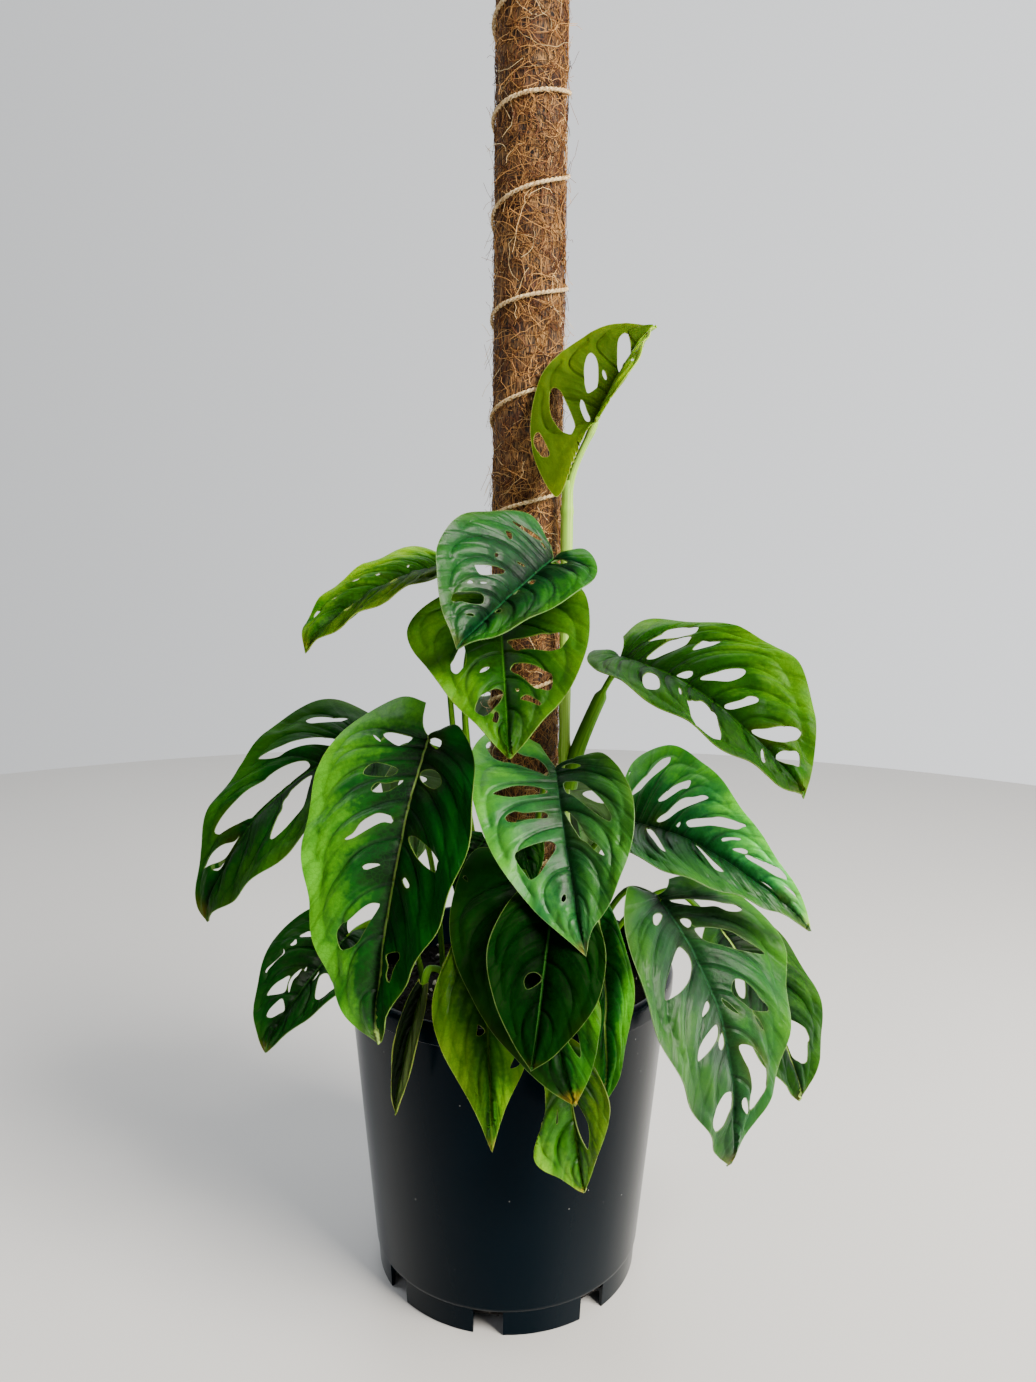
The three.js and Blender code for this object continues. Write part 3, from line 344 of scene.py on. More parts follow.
        "left": [(0.08, -0.03), (0.15, -0.05), (0.28, 0.1), (0.36, 0.37), (0.28, 0.66), (0.12, 0.89)],
        "right": [(0.08, -0.05), (0.17, -0.04), (0.33, 0.07), (0.37, 0.25), (0.31, 0.48), (0.2, 0.73),
            (0.09, 0.88)],
        "stalk": [(40, -36, 128), (48, -44, 210), (64, -58, 252)],
        "holes": [
            [(32, 28), (68, 32), (176, 64), (228, 88), (276, 104), (292, 124), (256, 132), (212, 120),
                (176, 92), (120, 80), (44, 44)],
            [(-116, 72), (-80, 64), (-56, 72), (-80, 88), (-124, 104), (-144, 100)],
            [(20, 108), (44, 108), (52, 124), (32, 144), (20, 132)],
            [(48, 152), (84, 156), (132, 172), (176, 196), (208, 232), (276, 300), (240, 296), (92, 224),
                (60, 200), (48, 176)],
            [(-72, 200), (-128, 224), (-208, 280), (-244, 316), (-260, 344), (-248, 356), (-140, 328),
                (-92, 308), (-60, 280), (-44, 248), (-52, 216)],
            [(80, 372), (104, 360), (132, 372), (156, 404), (172, 448), (200, 484), (192, 500), (148, 488),
                (116, 468), (72, 404)],
            [(24, 412), (36, 424), (52, 452), (64, 480), (40, 460), (24, 432)],
            [(128, 500), (148, 520), (164, 560), (144, 548), (132, 524)],
            [(-112, 436), (-76, 408), (-44, 404), (-52, 424), (-84, 440), (-112, 448)],
            [(-184, 572), (-164, 540), (-128, 512), (-84, 492), (-52, 488), (-44, 504), (-76, 536),
                (-172, 580)],
            [(-72, 564), (-68, 544), (-44, 528), (-16, 524), (-12, 548), (-24, 568), (-56, 576)],
            [(-148, 816), (-144, 784), (-92, 724), (-52, 720), (-24, 736), (-24, 768), (-52, 796),
                (-76, 832), (-108, 844)],
            [(36, 584), (64, 588), (104, 616), (132, 660), (144, 708), (136, 756), (76, 820), (60, 788),
                (68, 740), (56, 676), (40, 628)],
            [(24, 772), (36, 764), (52, 792), (64, 828), (44, 824), (28, 804)],
        ],
    },
    "leaf_behind_right": {
        "gloss": (0.1, 0.1), "tone": "fresh", "depth": (0.24, 0.28), "lime": (0.5, 0.5), "yellow": 0.2,
        "joint": (125, -20, 216), "tip": (166, -60, 131), "face": (0.51, -0.66, 0.56),
        "fold": 8, "arch": 0.1, "veins": 6,
        "left": [(0.1, -0.05), (0.3, 0.08), (0.36, 0.35), (0.3, 0.66), (0.11, 0.9)],
        "right": [(0.1, -0.06), (0.3, 0.08), (0.35, 0.34), (0.31, 0.67), (0.15, 0.9)],
        "stalk": [(52, 2, 128), (62, 0, 200), (96, -8, 236)],
        "holes": [
            [(40, 580), (92, 604), (148, 664), (160, 700), (160, 736), (128, 760), (92, 828), (60, 828),
                (36, 808), (20, 784), (12, 748), (12, 632)],
            [(-240, 356), (-219, 377), (-176, 355), (-130, 308), (-102, 266), (-103, 243), (-134, 242),
                (-183, 264), (-225, 308)],
            [(-142, 615), (-122, 638), (-99, 629), (-79, 594), (-69, 556), (-73, 529), (-94, 521),
                (-123, 535), (-144, 572)],
            [(236, 201), (220, 224), (178, 209), (131, 172), (101, 139), (101, 120), (129, 116), (174, 127),
                (217, 159)],
        ],
    },
    "leaf_low_left": {
        "gloss": (0.12, 0.12), "tone": "mature", "depth": (0.7, 0.7), "lime": (0.15, 0.05), "yellow": 0.3,
        "joint": (-97, -10, 207), "tip": (-138, -55, 154), "face": (-0.18, -0.67, 0.72),
        "fold": 20, "arch": 0.08, "veins": 6,
        "left": [(0.1, -0.12), (0.28, -0.1), (0.38, 0.12), (0.39, 0.38), (0.25, 0.76), (0.1, 0.94)],
        "right": [(0.1, -0.1), (0.3, 0), (0.37, 0.2), (0.35, 0.45), (0.17, 0.76)],
        "stalk": [(-50, -4, 128), (-56, -4, 190), (-78, -6, 214)],
        "holes": [
            [(-256, 220), (-256, 188), (-228, 148), (-196, 156), (-184, 176), (-240, 224)],
            [(-264, 312), (-260, 284), (-260, 256), (-236, 280), (-252, 312)],
            [(-300, 540), (-272, 428), (-272, 384), (-288, 360), (-264, 380), (-260, 400), (-288, 520),
                (-288, 568)],
            [(-184, 688), (-188, 644), (-180, 600), (-156, 548), (-124, 496), (-104, 544), (-92, 608),
                (-160, 676)],
            [(-72, 584), (-96, 540), (-104, 496), (-100, 452), (-88, 408), (-80, 460), (-84, 508),
                (-64, 584)],
            [(-68, 404), (-72, 372), (-56, 408)],
            [(44, 440), (36, 400), (28, 352), (48, 364), (60, 400), (56, 436)],
            [(168, 528), (92, 412), (88, 376), (108, 356), (140, 352), (216, 384), (280, 416), (268, 460),
                (248, 504), (212, 536)],
            [(-104, 800), (-108, 764), (-96, 712), (-72, 652), (-24, 700), (-36, 744), (-60, 788),
                (-88, 804)],
        ],
    },
    "leaf_olive": {
        "tone": "olive", "depth": (0.7, 1.5), "lime": (0.5, 0.7), "yellow": 0.5,
        "joint": (-16, -70, 247), "tip": (-7, -116, 133), "face": (0.1, -0.95, 0.33),
        "fold": 5, "arch": 0.11, "veins": 6,
        "left": [(0.04, 0), (0.11, 0.12), (0.22, 0.36), (0.2, 0.56), (0.08, 0.8)],
        "right": [(0.05, 0), (0.1, 0.15), (0.17, 0.42), (0.15, 0.65), (0.06, 0.82)],
        "stalk": [(-18, -44, 128), (-18, -48, 210), (-17, -62, 240)],
        "holes": [
            [(-48, 524), (-44, 504), (-40, 484), (-16, 504), (-12, 516), (-32, 528)],
            [(84, 664), (104, 628), (120, 620), (134, 637), (120, 660), (96, 668)],
        ],
    },
    "leaf_long_front": {
        "tone": "mature", "depth": (0.43, 1.15), "lime": (0.1, 1), "yellow": 0.9,
        "joint": (6, -69, 266), "tip": (34, -127, 165), "face": (-0.2, -0.93, 0.3),
        "fold": 8, "arch": 0.06, "veins": 7,
        "left": [(0.06, -0.12), (0.2, -0.14), (0.35, 0.14), (0.31, 0.5), (0.18, 0.78), (0.08, 0.92)],
        "right": [(0.03, 0), (0.06, 0.12), (0.13, 0.3), (0.2, 0.5), (0.21, 0.7), (0.1, 0.9)],
        "stalk": [(2, -40, 128), (2, -44, 220), (4, -58, 258)],
        "holes": [
            [(-256, -36), (-244, -44), (-236, -28), (-236, -12), (-244, -20)],
            [(20, 712), (76, 708), (96, 736), (84, 816), (72, 816), (44, 740)],
        ],
    },
    "leaf_small_front": {
        "gloss": (0.02, 0.02), "tone": "mature", "depth": (0.22, 0.25), "lime": (0.1, 0.1), "yellow": 0.1,
        "joint": (23, -88, 260), "tip": (12, -132, 186), "face": (0.05, -0.96, 0.27),
        "fold": 14, "arch": 0.05, "veins": 5,
        "left": [(0.08, -0.06), (0.24, 0.05), (0.36, 0.37), (0.28, 0.66), (0.13, 0.87)],
        "right": [(0.06, -0.06), (0.2, 0), (0.34, 0.3), (0.32, 0.6), (0.14, 0.88)],
        "stalk": [(26, -52, 128), (27, -56, 200), (26, -74, 250)],
        "holes": [
            [(-116, 544), (-112, 512), (-92, 488), (-56, 476), (-20, 488), (-12, 512), (-60, 560),
                (-96, 576)],
        ],
    },
    "leaf_narrow_right": {
        "gloss": (0.03, 0.03), "tone": "fresh", "depth": (0.9, 1.3), "lime": (0.6, 0.9), "yellow": 0.9,
        "joint": (46, -76, 253), "tip": (48, -118, 158), "face": (0.55, -0.8, 0.25),
        "fold": 4, "arch": 0.05, "veins": 4,
        "left": [(0.04, -0.04), (0.08, 0.15), (0.1, 0.5), (0.08, 0.8)],
        "right": [(0.05, -0.04), (0.13, 0.14), (0.17, 0.48), (0.1, 0.8)],
        "stalk": [(40, -52, 128), (43, -56, 210), (50, -66, 244)],
        "holes": [],
    },
    "leaf_lowest": {
        "gloss": (0.3, 0.2), "tone": "olive", "depth": (1.9, 0.75), "lime": (0.6, 0.7), "yellow": 0.3,
        "joint": (29, -108, 187), "tip": (40, -122, 115), "face": (-0.17, -0.98, 0.11),
        "fold": 14, "arch": 0.03, "veins": 5,
        "left": [(0.06, -0.05), (0.15, 0.08), (0.18, 0.4), (0.3, 0.7), (0.14, 0.88)],
        "right": [(0.06, -0.05), (0.17, 0.06), (0.28, 0.4), (0.12, 0.77)],
        "stalk": [(12, -62, 128), (14, -70, 186), (23, -96, 204)],
        "holes": [
            [(12, 372), (48, 372), (84, 440), (108, 508), (104, 596), (88, 664), (76, 684), (56, 640),
                (28, 560), (12, 476)],
            [(-116, 484), (-96, 400), (-104, 484)],
        ],
    },
    "leaf_curled_left": {
        "gloss": (0.1, 0.03), "tone": "olive", "turned": (0, 0.4), "depth": (0.05, 0.02), "lime": (0.2, 0.1),
        "yellow": 0.1,
        "joint": (-45, -84, 208), "tip": (-59, -98, 142), "face": (-0.25, -0.9, 0.2),
        "fold": 38, "arch": 0.06, "veins": 4,
        "left": [(0.05, -0.04), (0.1, 0.15), (0.11, 0.5), (0.06, 0.8)],
        "right": [(0.05, -0.04), (0.1, 0.14), (0.12, 0.45), (0.07, 0.8)],
        "stalk": [(-32, -56, 128), (-34, -60, 196), (-42, -76, 214)],
        "holes": [],
    },
    "leaf_young_left": {
        "tone": "mature", "depth": (0.7, 0.5), "lime": (0.1, 0.2), "yellow": 0.1,
        "joint": (-14, -40, 276), "tip": (-30, -60, 250), "face": (-0.2, -0.7, 0.7),
        "fold": 18, "arch": 0.08, "veins": 4,
        "left": [(0.1, -0.08), (0.28, 0.02), (0.34, 0.3), (0.26, 0.66)],
        "right": [(0.1, -0.08), (0.28, 0.02), (0.34, 0.3), (0.26, 0.66)],
        "stalk": [(-11, -27, 128), (-12, -30, 230)],
        "holes": [],
    },
    "leaf_young_right": {
        "tone": "mature", "depth": (0.7, 0.7), "lime": (0.2, 0.3), "yellow": 0.1,
        "joint": (2, -34, 282), "tip": (14, -54, 254), "face": (0.2, -0.7, 0.7),
        "fold": 18, "arch": 0.08, "veins": 4,
        "left": [(0.1, -0.08), (0.28, 0.02), (0.34, 0.3), (0.26, 0.66)],
        "right": [(0.1, -0.08), (0.28, 0.02), (0.34, 0.3), (0.26, 0.66)],
        "stalk": [(0, -20, 128), (-1, -22, 240)],
        "holes": [],
    },
    "leaf_back_left": {
        "tone": "mature", "depth": (0.8, 0.7), "lime": (0.3, 0.4), "yellow": 0.2,
        "joint": (-35, 62, 300), "tip": (-70, 118, 215), "face": (-0.3, 0.8, 0.5),
        "fold": 16, "arch": 0.12, "veins": 6,
        "left": [(0.1, -0.12), (0.3, -0.1), (0.38, 0.15), (0.35, 0.48), (0.17, 0.82)],
        "right": [(0.1, -0.12), (0.3, -0.1), (0.38, 0.15), (0.35, 0.48), (0.17, 0.82)],
        "stalk": [(-18, 40, 128), (-23, 46, 240)],
        "holes": [
            [(-260, 325), (-229, 372), (-174, 363), (-122, 313), (-90, 260), (-92, 223), (-131, 204),
                (-191, 210), (-244, 254)],
            [(-192, 547), (-158, 592), (-118, 584), (-85, 534), (-66, 475), (-72, 431), (-106, 410),
                (-157, 423), (-195, 476)],
            [(258, 130), (242, 163), (196, 162), (144, 138), (111, 111), (110, 91), (141, 77), (190, 72),
                (237, 89)],
            [(240, 467), (205, 499), (154, 481), (107, 430), (79, 378), (82, 344), (122, 334), (183, 353),
                (232, 405)],
        ],
    },
    "leaf_back_right": {
        "tone": "mature", "depth": (0.8, 0.7), "lime": (0.4, 0.3), "yellow": 0.3,
        "joint": (30, 66, 290), "tip": (55, 126, 205), "face": (0.25, 0.82, 0.5),
        "fold": 16, "arch": 0.12, "veins": 6,
        "left": [(0.1, -0.12), (0.3, -0.1), (0.38, 0.15), (0.35, 0.48), (0.17, 0.82)],
        "right": [(0.1, -0.12), (0.3, -0.1), (0.38, 0.15), (0.35, 0.48), (0.17, 0.82)],
        "stalk": [(20, 42, 128), (24, 50, 230)],
        "holes": [
            [(-258, 130), (-242, 163), (-196, 162), (-144, 138), (-111, 111), (-110, 91), (-141, 77),
                (-190, 72), (-237, 89)],
            [(-240, 467), (-205, 499), (-154, 481), (-107, 430), (-79, 378), (-82, 344), (-122, 334),
                (-183, 353), (-232, 405)],
            [(260, 325), (229, 372), (174, 363), (122, 313), (90, 260), (92, 223), (131, 204), (191, 210),
                (244, 254)],
            [(192, 547), (158, 592), (118, 584), (85, 534), (66, 475), (72, 431), (106, 410), (157, 423),
                (195, 476)],
        ],
    },
    "leaf_back_middle": {
        "tone": "blue", "depth": (0.9, 0.7), "lime": (0.3, 0.4), "yellow": 0.2,
        "joint": (-5, 54, 345), "tip": (-12, 122, 298), "face": (0, 0.6, 0.8),
        "fold": 14, "arch": 0.14, "veins": 6,
        "left": [(0.1, -0.1), (0.3, -0.05), (0.38, 0.2), (0.33, 0.52), (0.16, 0.84)],
        "right": [(0.1, -0.1), (0.3, -0.05), (0.38, 0.2), (0.33, 0.52), (0.16, 0.84)],
        "stalk": [(2, 42, 128), (0, 42, 280)],
        "holes": [
            [(-253, 270), (-228, 300), (-177, 286), (-124, 245), (-90, 206), (-92, 181), (-128, 172),
                (-186, 183), (-236, 219)],
            [(-177, 584), (-153, 608), (-120, 594), (-91, 552), (-74, 509), (-78, 480), (-105, 473),
                (-145, 492), (-176, 535)],
            [(239, 402), (208, 438), (158, 421), (111, 370), (82, 318), (85, 284), (123, 272), (181, 289),
                (229, 338)],
        ],
    },
}


def linear(code, alpha=1.0):
    """An sRGB hex colour as the linear values that Blender's sockets take."""
    channels = [int(code[k:k + 2], 16) / 255 for k in (1, 3, 5)]
    return tuple(c / 12.92 if c <= 0.04045 else ((c + 0.055) / 1.055) ** 2.4 for c in channels) + (alpha,)


def add_node(tree, kind, inputs=None, **settings):
    """Adds a node with its settings. Each input is a value, or the socket that feeds it."""
    node = tree.nodes.new(kind)
    for key, value in settings.items():
        setattr(node, key, value)
    for key, value in (inputs or {}).items():
        if isinstance(value, bpy.types.NodeSocket):
            tree.links.new(value, node.inputs[key])
        else:
            node.inputs[key].default_value = value
    return node


def new_material(name):
    """An empty material, and its node tree."""
    material = bpy.data.materials.new(name)
    material.use_nodes = True
    material.node_tree.nodes.clear()
    return material, material.node_tree


# ---- materials


def leaf_material(name, tone):
    """Living leaf: a waxy skin over green tissue. Satin gloss, sunken veins with painted shade in their
    grooves, a thin pale margin.
    """
    colours = bpy.context.scene.vine_colours
    material, tree = new_material(name)
    dark, light, glow, vein, rim, pale = ((*getattr(colours, f"{tone}_{part}"), 1) for part in PARTS)
    value = {key: add_node(tree, "ShaderNodeAttribute", attribute_name=key).outputs["Fac"] for key in (
        "side_mm", "rib_mm", "margin_mm", "hole_mm", "under", "lime", "yellow", "out", "depth", "gloss")}
    blade, strips = (
        add_node(tree, "ShaderNodeUVMap", uv_map=key).outputs[0] for key in ("blade", "along_veins"))
    # The blade map is in tenths of a metre, so a scale of 40 gives cells 2.5 mm across. The real net of small
    # veins is about twice as fine, and is drawn this coarse so that it shows.
    value["cells"] = add_node(tree, "ShaderNodeTexVoronoi", {
        "Vector": blade, "Scale": 40.0, "Randomness": 0.9}, feature="DISTANCE_TO_EDGE").outputs["Distance"]
    # The second map counts veins, so the streaks and wrinkles are drawn out along them.
    # On the blade, clouds are about 25 mm across, mottling 3 mm and grain half a millimetre.
    for key, place, scale, detail in (
            ("streak", strips, 1.5, 3.0), ("wrinkle", strips, 2.3, 1.5), ("cloud", blade, 4.0, 2.0),
            ("grain", blade, 170.0, 3.0), ("mottle", blade, 38.0, 4.0)):
        value[key] = add_node(tree, "ShaderNodeTexNoise", {
            "Vector": place, "Scale": scale, "Detail": detail}).outputs["Fac"]
    # Two fine veins run in each gap between two side veins.
    value["fine"] = add_node(tree, "ShaderNodeTexWave", {
        "Vector": strips, "Scale": 0.63, "Distortion": 1.0, "Detail": 0.0, "Detail Scale": 0.8,
    }, bands_direction="Y").outputs["Fac"]
    # Tissue is dark beside the midrib and bright towards the margin, with a boundary that wanders.
    for key, first, share, third in (
            ("drift", "streak", 1.15, "out"), ("speckle", "mottle", 0.6, "drift"),
            ("reach", "cloud", 1.1, "speckle"), ("folds", "grain", 0.1, "wrinkle"),
            ("quilts", "cells", 0.12, "folds")):
        value[key] = add_node(tree, "ShaderNodeMath", {
            0: value[first], 1: share, 2: value[third]}, operation="MULTIPLY_ADD").outputs[0]
    # Beside the midrib, over the side veins and along the fine veins, some of these ranges mark painted
    # shade: the dark colour laid into the grooves there.
    for key, source, low, high, start, end in (
            ("tissue", "reach", 1.4, 2.1, 0.0, 1.0), ("patch", "reach", 1.8, 2.3, 0.05, 1.0),
            ("net", "cells", 0.0, 0.1, 0.3, 0.0), ("crease", "fine", 0.0, 0.25, -0.22, 0.0),
            ("line", "fine", 0.0, 0.15, 0.16, 0.0), ("groove", "side_mm", 0.2, 1.1, 0.5, 0.0),
            ("seam", "rib_mm", 0.35, 0.95, 0.75, 0.0), ("painted_midrib_shade", "rib_mm", 0.9, 3.2, 0.45, 0.0),
            ("worn", "hole_mm", 0.0, 0.35, 0.3, 0.0), ("edge", "margin_mm", 0.05, 0.4, 0.42, 0.0),
            ("sink", "side_mm", 0.0, 1.4, -0.8, 0.0), ("fading", "out", 0.5, 0.87, 1.0, 0.1),
            ("matt", "depth", 0.1, 0.7, 0.14, 0.0), ("satin", "grain", 0.0, 1.0, 0.34, 0.46)):
        value[key] = add_node(tree, "ShaderNodeMapRange", {
            "Value": value[source], 1: low, 2: high, 3: start, 4: end}).outputs[0]
    for key, operation, first, second in (
            ("bright", "MULTIPLY", "lime", "patch"), ("dip", "MULTIPLY", "sink", "fading"),
            ("puckers", "ADD", "quilts", "dip"), ("height", "ADD", "puckers", "crease"),
            ("painted_vein_shade", "MULTIPLY", "groove", "fading"), ("rough", "ADD", "satin", "matt")):
        value[key] = add_node(tree, "ShaderNodeMath", {
            0: value[first], 1: value[second]}, operation=operation).outputs[0]
    # Painted shade: beside the midrib, along the side veins and along the fine veins, the dark colour is laid
    # again into the grooves where shade falls.
    skin = dark
    for share, colour in (
            ("tissue", light), ("bright", glow), ("painted_midrib_shade", dark), ("net", light), ("painted_vein_shade", dark),
            ("line", dark), ("yellow", (*colours.leaf_tip, 1))):
        skin = add_node(tree, "ShaderNodeMix", {
            0: value[share], 6: skin, 7: colour}, data_type="RGBA").outputs[2]
    # Painted light and shade: the depth attribute scales each half's colour, lighter where the half lies in
    # the light and darker where it lies in shade.
    skin = add_node(tree, "ShaderNodeVectorMath", {
        0: skin, "Scale": value["depth"]}, operation="SCALE").outputs[0]
    for share, colour in (("under", pale), ("seam", vein), ("worn", rim), ("edge", rim)):
        skin = add_node(tree, "ShaderNodeMix", {
            0: value[share], 6: skin, 7: colour}, data_type="RGBA").outputs[2]
    bump = add_node(tree, "ShaderNodeBump", {
        "Strength": 0.8, "Distance": 0.0011, "Height": value["height"]}).outputs[0]
    shader = add_node(tree, "ShaderNodeBsdfPrincipled", {
        "Base Color": skin, "Roughness": value["rough"], "Normal": bump, "IOR": 1.4,
        "Specular IOR Level": value["gloss"], "Subsurface Weight": 0.35,
        "Subsurface Radius": (0.35, 1.0, 0.1), "Subsurface Scale": 0.001,
    })
    add_node(tree, "ShaderNodeOutputMaterial", {"Surface": shader.outputs[0]})
    return material


def stalk_material(name, colour, streak):
    """Living green stem: smooth, satin and faintly ribbed, with a darker channel along a leaf's stalk."""
    material, tree = new_material(name)
    along = add_node(tree, "ShaderNodeUVMap", uv_map="blade").outputs[0]
    stretch = add_node(tree, "ShaderNodeMapping", {"Vector": along, "Scale": (5.0, 0.5, 1.0)}).outputs[0]
    ribs = add_node(tree, "ShaderNodeTexNoise", {
        "Vector": stretch, "Scale": 4.0, "Detail": 5.0}).outputs["Fac"]
    place = add_node(tree, "ShaderNodeTexCoord").outputs["Object"]
    blotch = add_node(tree, "ShaderNodeTexNoise", {
        "Vector": place, "Scale": 60.0, "Detail": 3.0}).outputs["Fac"]
    ribs = add_node(tree, "ShaderNodeMapRange", {"Value": ribs, 1: 0.35, 2: 0.7}).outputs[0]
    mixed = add_node(tree, "ShaderNodeMix", {
        0: ribs, 6: (*colour, 1), 7: (*streak, 1)}, data_type="RGBA").outputs[2]
    channel = add_node(tree, "ShaderNodeAttribute", attribute_name="channel").outputs["Fac"]
    channel = add_node(tree, "ShaderNodeMapRange", {"Value": channel, 1: 0.2, 2: 0.95, 4: 0.8}).outputs[0]
    mixed = add_node(tree, "ShaderNodeMix", {
        0: channel, 6: mixed, 7: linear("#0c3400")}, data_type="RGBA").outputs[2]
    bump = add_node(tree, "ShaderNodeBump", {"Strength": 0.3, "Distance": 0.0005, "Height": ribs}).outputs[0]
    rough = add_node(tree, "ShaderNodeMapRange", {"Value": blotch, 3: 0.34, 4: 0.55}).outputs[0]
    shader = add_node(tree, "ShaderNodeBsdfPrincipled", {
        "Base Color": mixed, "Roughness": rough, "Normal": bump, "IOR": 1.4, "Specular IOR Level": 0.25,
        "Subsurface Weight": 0.15, "Subsurface Radius": (0.5, 1.0, 0.2), "Subsurface Scale": 0.001,
    })
    add_node(tree, "ShaderNodeOutputMaterial", {"Surface": shader.outputs[0]})
    return material


def pot_material():
    """Injection-moulded polypropylene, blue-black: a satin skin with faint mould grain, scuffs and dust."""
    colours = bpy.context.scene.vine_colours
    material, tree = new_material("moulded_polypropylene")
    place = add_node(tree, "ShaderNodeTexCoord").outputs["Object"]
    grain = add_node(tree, "ShaderNodeTexNoise", {
        "Vector": place, "Scale": 900.0, "Detail": 2.0}).outputs["Fac"]
    wear = add_node(tree, "ShaderNodeTexNoise", {
        "Vector": place, "Scale": 22.0, "Detail": 6.0}).outputs["Fac"]
    wear = add_node(tree, "ShaderNodeMapRange", {"Value": wear, 1: 0.4, 2: 0.7}).outputs[0]
    dust = add_node(tree, "ShaderNodeMath", {0: wear, 1: 0.05}, operation="MULTIPLY").outputs[0]
    skin = add_node(tree, "ShaderNodeMix", {
        0: dust, 6: (*colours.pot, 1), 7: (*colours.pot_dust, 1)}, data_type="RGBA").outputs[2]
    # A few specks of dust, under a millimetre across, in cells of about 12 mm.
    specks = add_node(tree, "ShaderNodeTexVoronoi", {"Vector": place, "Scale": 85.0}).outputs["Distance"]
    specks = add_node(tree, "ShaderNodeMapRange", {
        "Value": specks, 1: 0.02, 2: 0.045, 3: 0.7, 4: 0.0}).outputs[0]
    skin = add_node(tree, "ShaderNodeMix", {
        0: specks, 6: skin, 7: linear("#9a9c98")}, data_type="RGBA").outputs[2]
    rough = add_node(tree, "ShaderNodeMapRange", {"Value": wear, 3: 0.2, 4: 0.24}).outputs[0]
    bump = add_node(tree, "ShaderNodeBump", {
        "Strength": 0.08, "Distance": 0.0002, "Height": grain}).outputs[0]
    shader = add_node(tree, "ShaderNodeBsdfPrincipled", {
        "Base Color": skin, "Roughness": rough, "Normal": bump, "IOR": 1.49, "Specular IOR Level": 0.18,
        "Specular Tint": linear("#14304c")})
    add_node(tree, "ShaderNodeOutputMaterial", {"Surface": shader.outputs[0]})
    return material


def rough_material(name, dark, light, scale, bump_mm, roughness=0.9):
    """Loose or fibrous matter: two tones mottled at the given scale per metre, and nearly no gloss."""
    material, tree = new_material(name)
    place = add_node(tree, "ShaderNodeTexCoord").outputs["Object"]
    mottle = add_node(tree, "ShaderNodeTexNoise", {
        "Vector": place, "Scale": scale, "Detail": 6.0}).outputs["Fac"]
    sharp = add_node(tree, "ShaderNodeMapRange", {"Value": mottle, 1: 0.36, 2: 0.66}).outputs[0]
    mixed = add_node(tree, "ShaderNodeMix", {
        0: sharp, 6: (*dark, 1), 7: (*light, 1)}, data_type="RGBA").outputs[2]
    bump = add_node(tree, "ShaderNodeBump", {
        "Strength": 0.6, "Distance": bump_mm / 1000, "Height": mottle}).outputs[0]
    shader = add_node(tree, "ShaderNodeBsdfPrincipled", {
        "Base Color": mixed, "Roughness": roughness, "Normal": bump, "IOR": 1.5, "Specular IOR Level": 0.15})
    add_node(tree, "ShaderNodeOutputMaterial", {"Surface": shader.outputs[0]})
    return material


# ---- mesh tools


def new_object(name, data):
    """A new object in the scene that holds the given mesh, lamp or camera."""
    made = bpy.data.objects.new(name, data)
    bpy.context.collection.objects.link(made)
    return made


def travel(path):
    """How far along the path each of its points lies."""
    return np.r_[0, np.cumsum(np.linalg.norm(np.diff(path, axis=0), axis=1))]


def spread(path, places):
    """The points at the given distances along a path."""
    reach = travel(path)
    return np.stack([np.interp(places, reach, axis) for axis in path.T], axis=1)


def smooth_path(points, steps):
    """Evenly spread points along a smooth path through the given ones."""
    points = np.array(points, float)
    count = len(points)
    ends = np.vstack([points[0], points, points[-1]])
    shares = np.linspace(0, 1, 60, endpoint=False)
    curve = []
    for k in range(count - 1):
        p0, p1, p2, p3 = ends[k:k + 4]
        v0, v1 = (p2 - p0) / 2, (p3 - p1) / 2
        cube, square = 2 * p1 - 2 * p2 + v0 + v1, 3 * p2 - 3 * p1 - 2 * v0 - v1
        curve += [cube * t ** 3 + square * t ** 2 + v0 * t + p1 for t in shares]
    curve = np.array(curve + [points[-1]])
    return spread(curve, np.linspace(0, travel(curve)[-1], steps + 1))


def tube(path, radii, sides):
    """A block for a closed round bar along a path, whose UVs are turn and length."""
    path = np.array(path, float)
    radii = np.broadcast_to(np.array(radii, float), len(path))
    tangents = np.gradient(path, axis=0)
    tangents /= np.linalg.norm(tangents, axis=1)[:, None]
    side = np.cross(tangents[0], (0.0, 0.0, 1.0) if abs(tangents[0][2]) < 0.9 else (0.0, 1.0, 0.0))
    points, uvs = [], []
    reach = travel(path)
    for k, (place, tangent) in enumerate(zip(path, tangents)):
        side = side - tangent * side.dot(tangent)
        side /= np.linalg.norm(side)
        rise = np.cross(tangent, side)
        turns = np.arange(sides) / sides * 2 * np.pi
        ring = radii[k] * (np.cos(turns)[:, None] * side + np.sin(turns)[:, None] * rise)
        points.append(place + ring)
        uvs += [(turn / 2 / np.pi, reach[k] / 100) for turn in turns]
    points = np.vstack(points + [path[0], path[-1]])
    uvs += [(0, 0), (0, reach[-1] / 100)]
    rings = len(path)
    faces = []
    for k in range(rings - 1):
        for s in range(sides):
            a, b = k * sides + s, k * sides + (s + 1) % sides
            faces.append((a, b, b + sides, a + sides))
    first, last = rings * sides, rings * sides + 1
    for s in range(sides):
        faces.append((first, (s + 1) % sides, s))
        faces.append((last, (rings - 1) * sides + s, (rings - 1) * sides + (s + 1) % sides))
    return {"points": points, "faces": faces, "uvs": uvs}


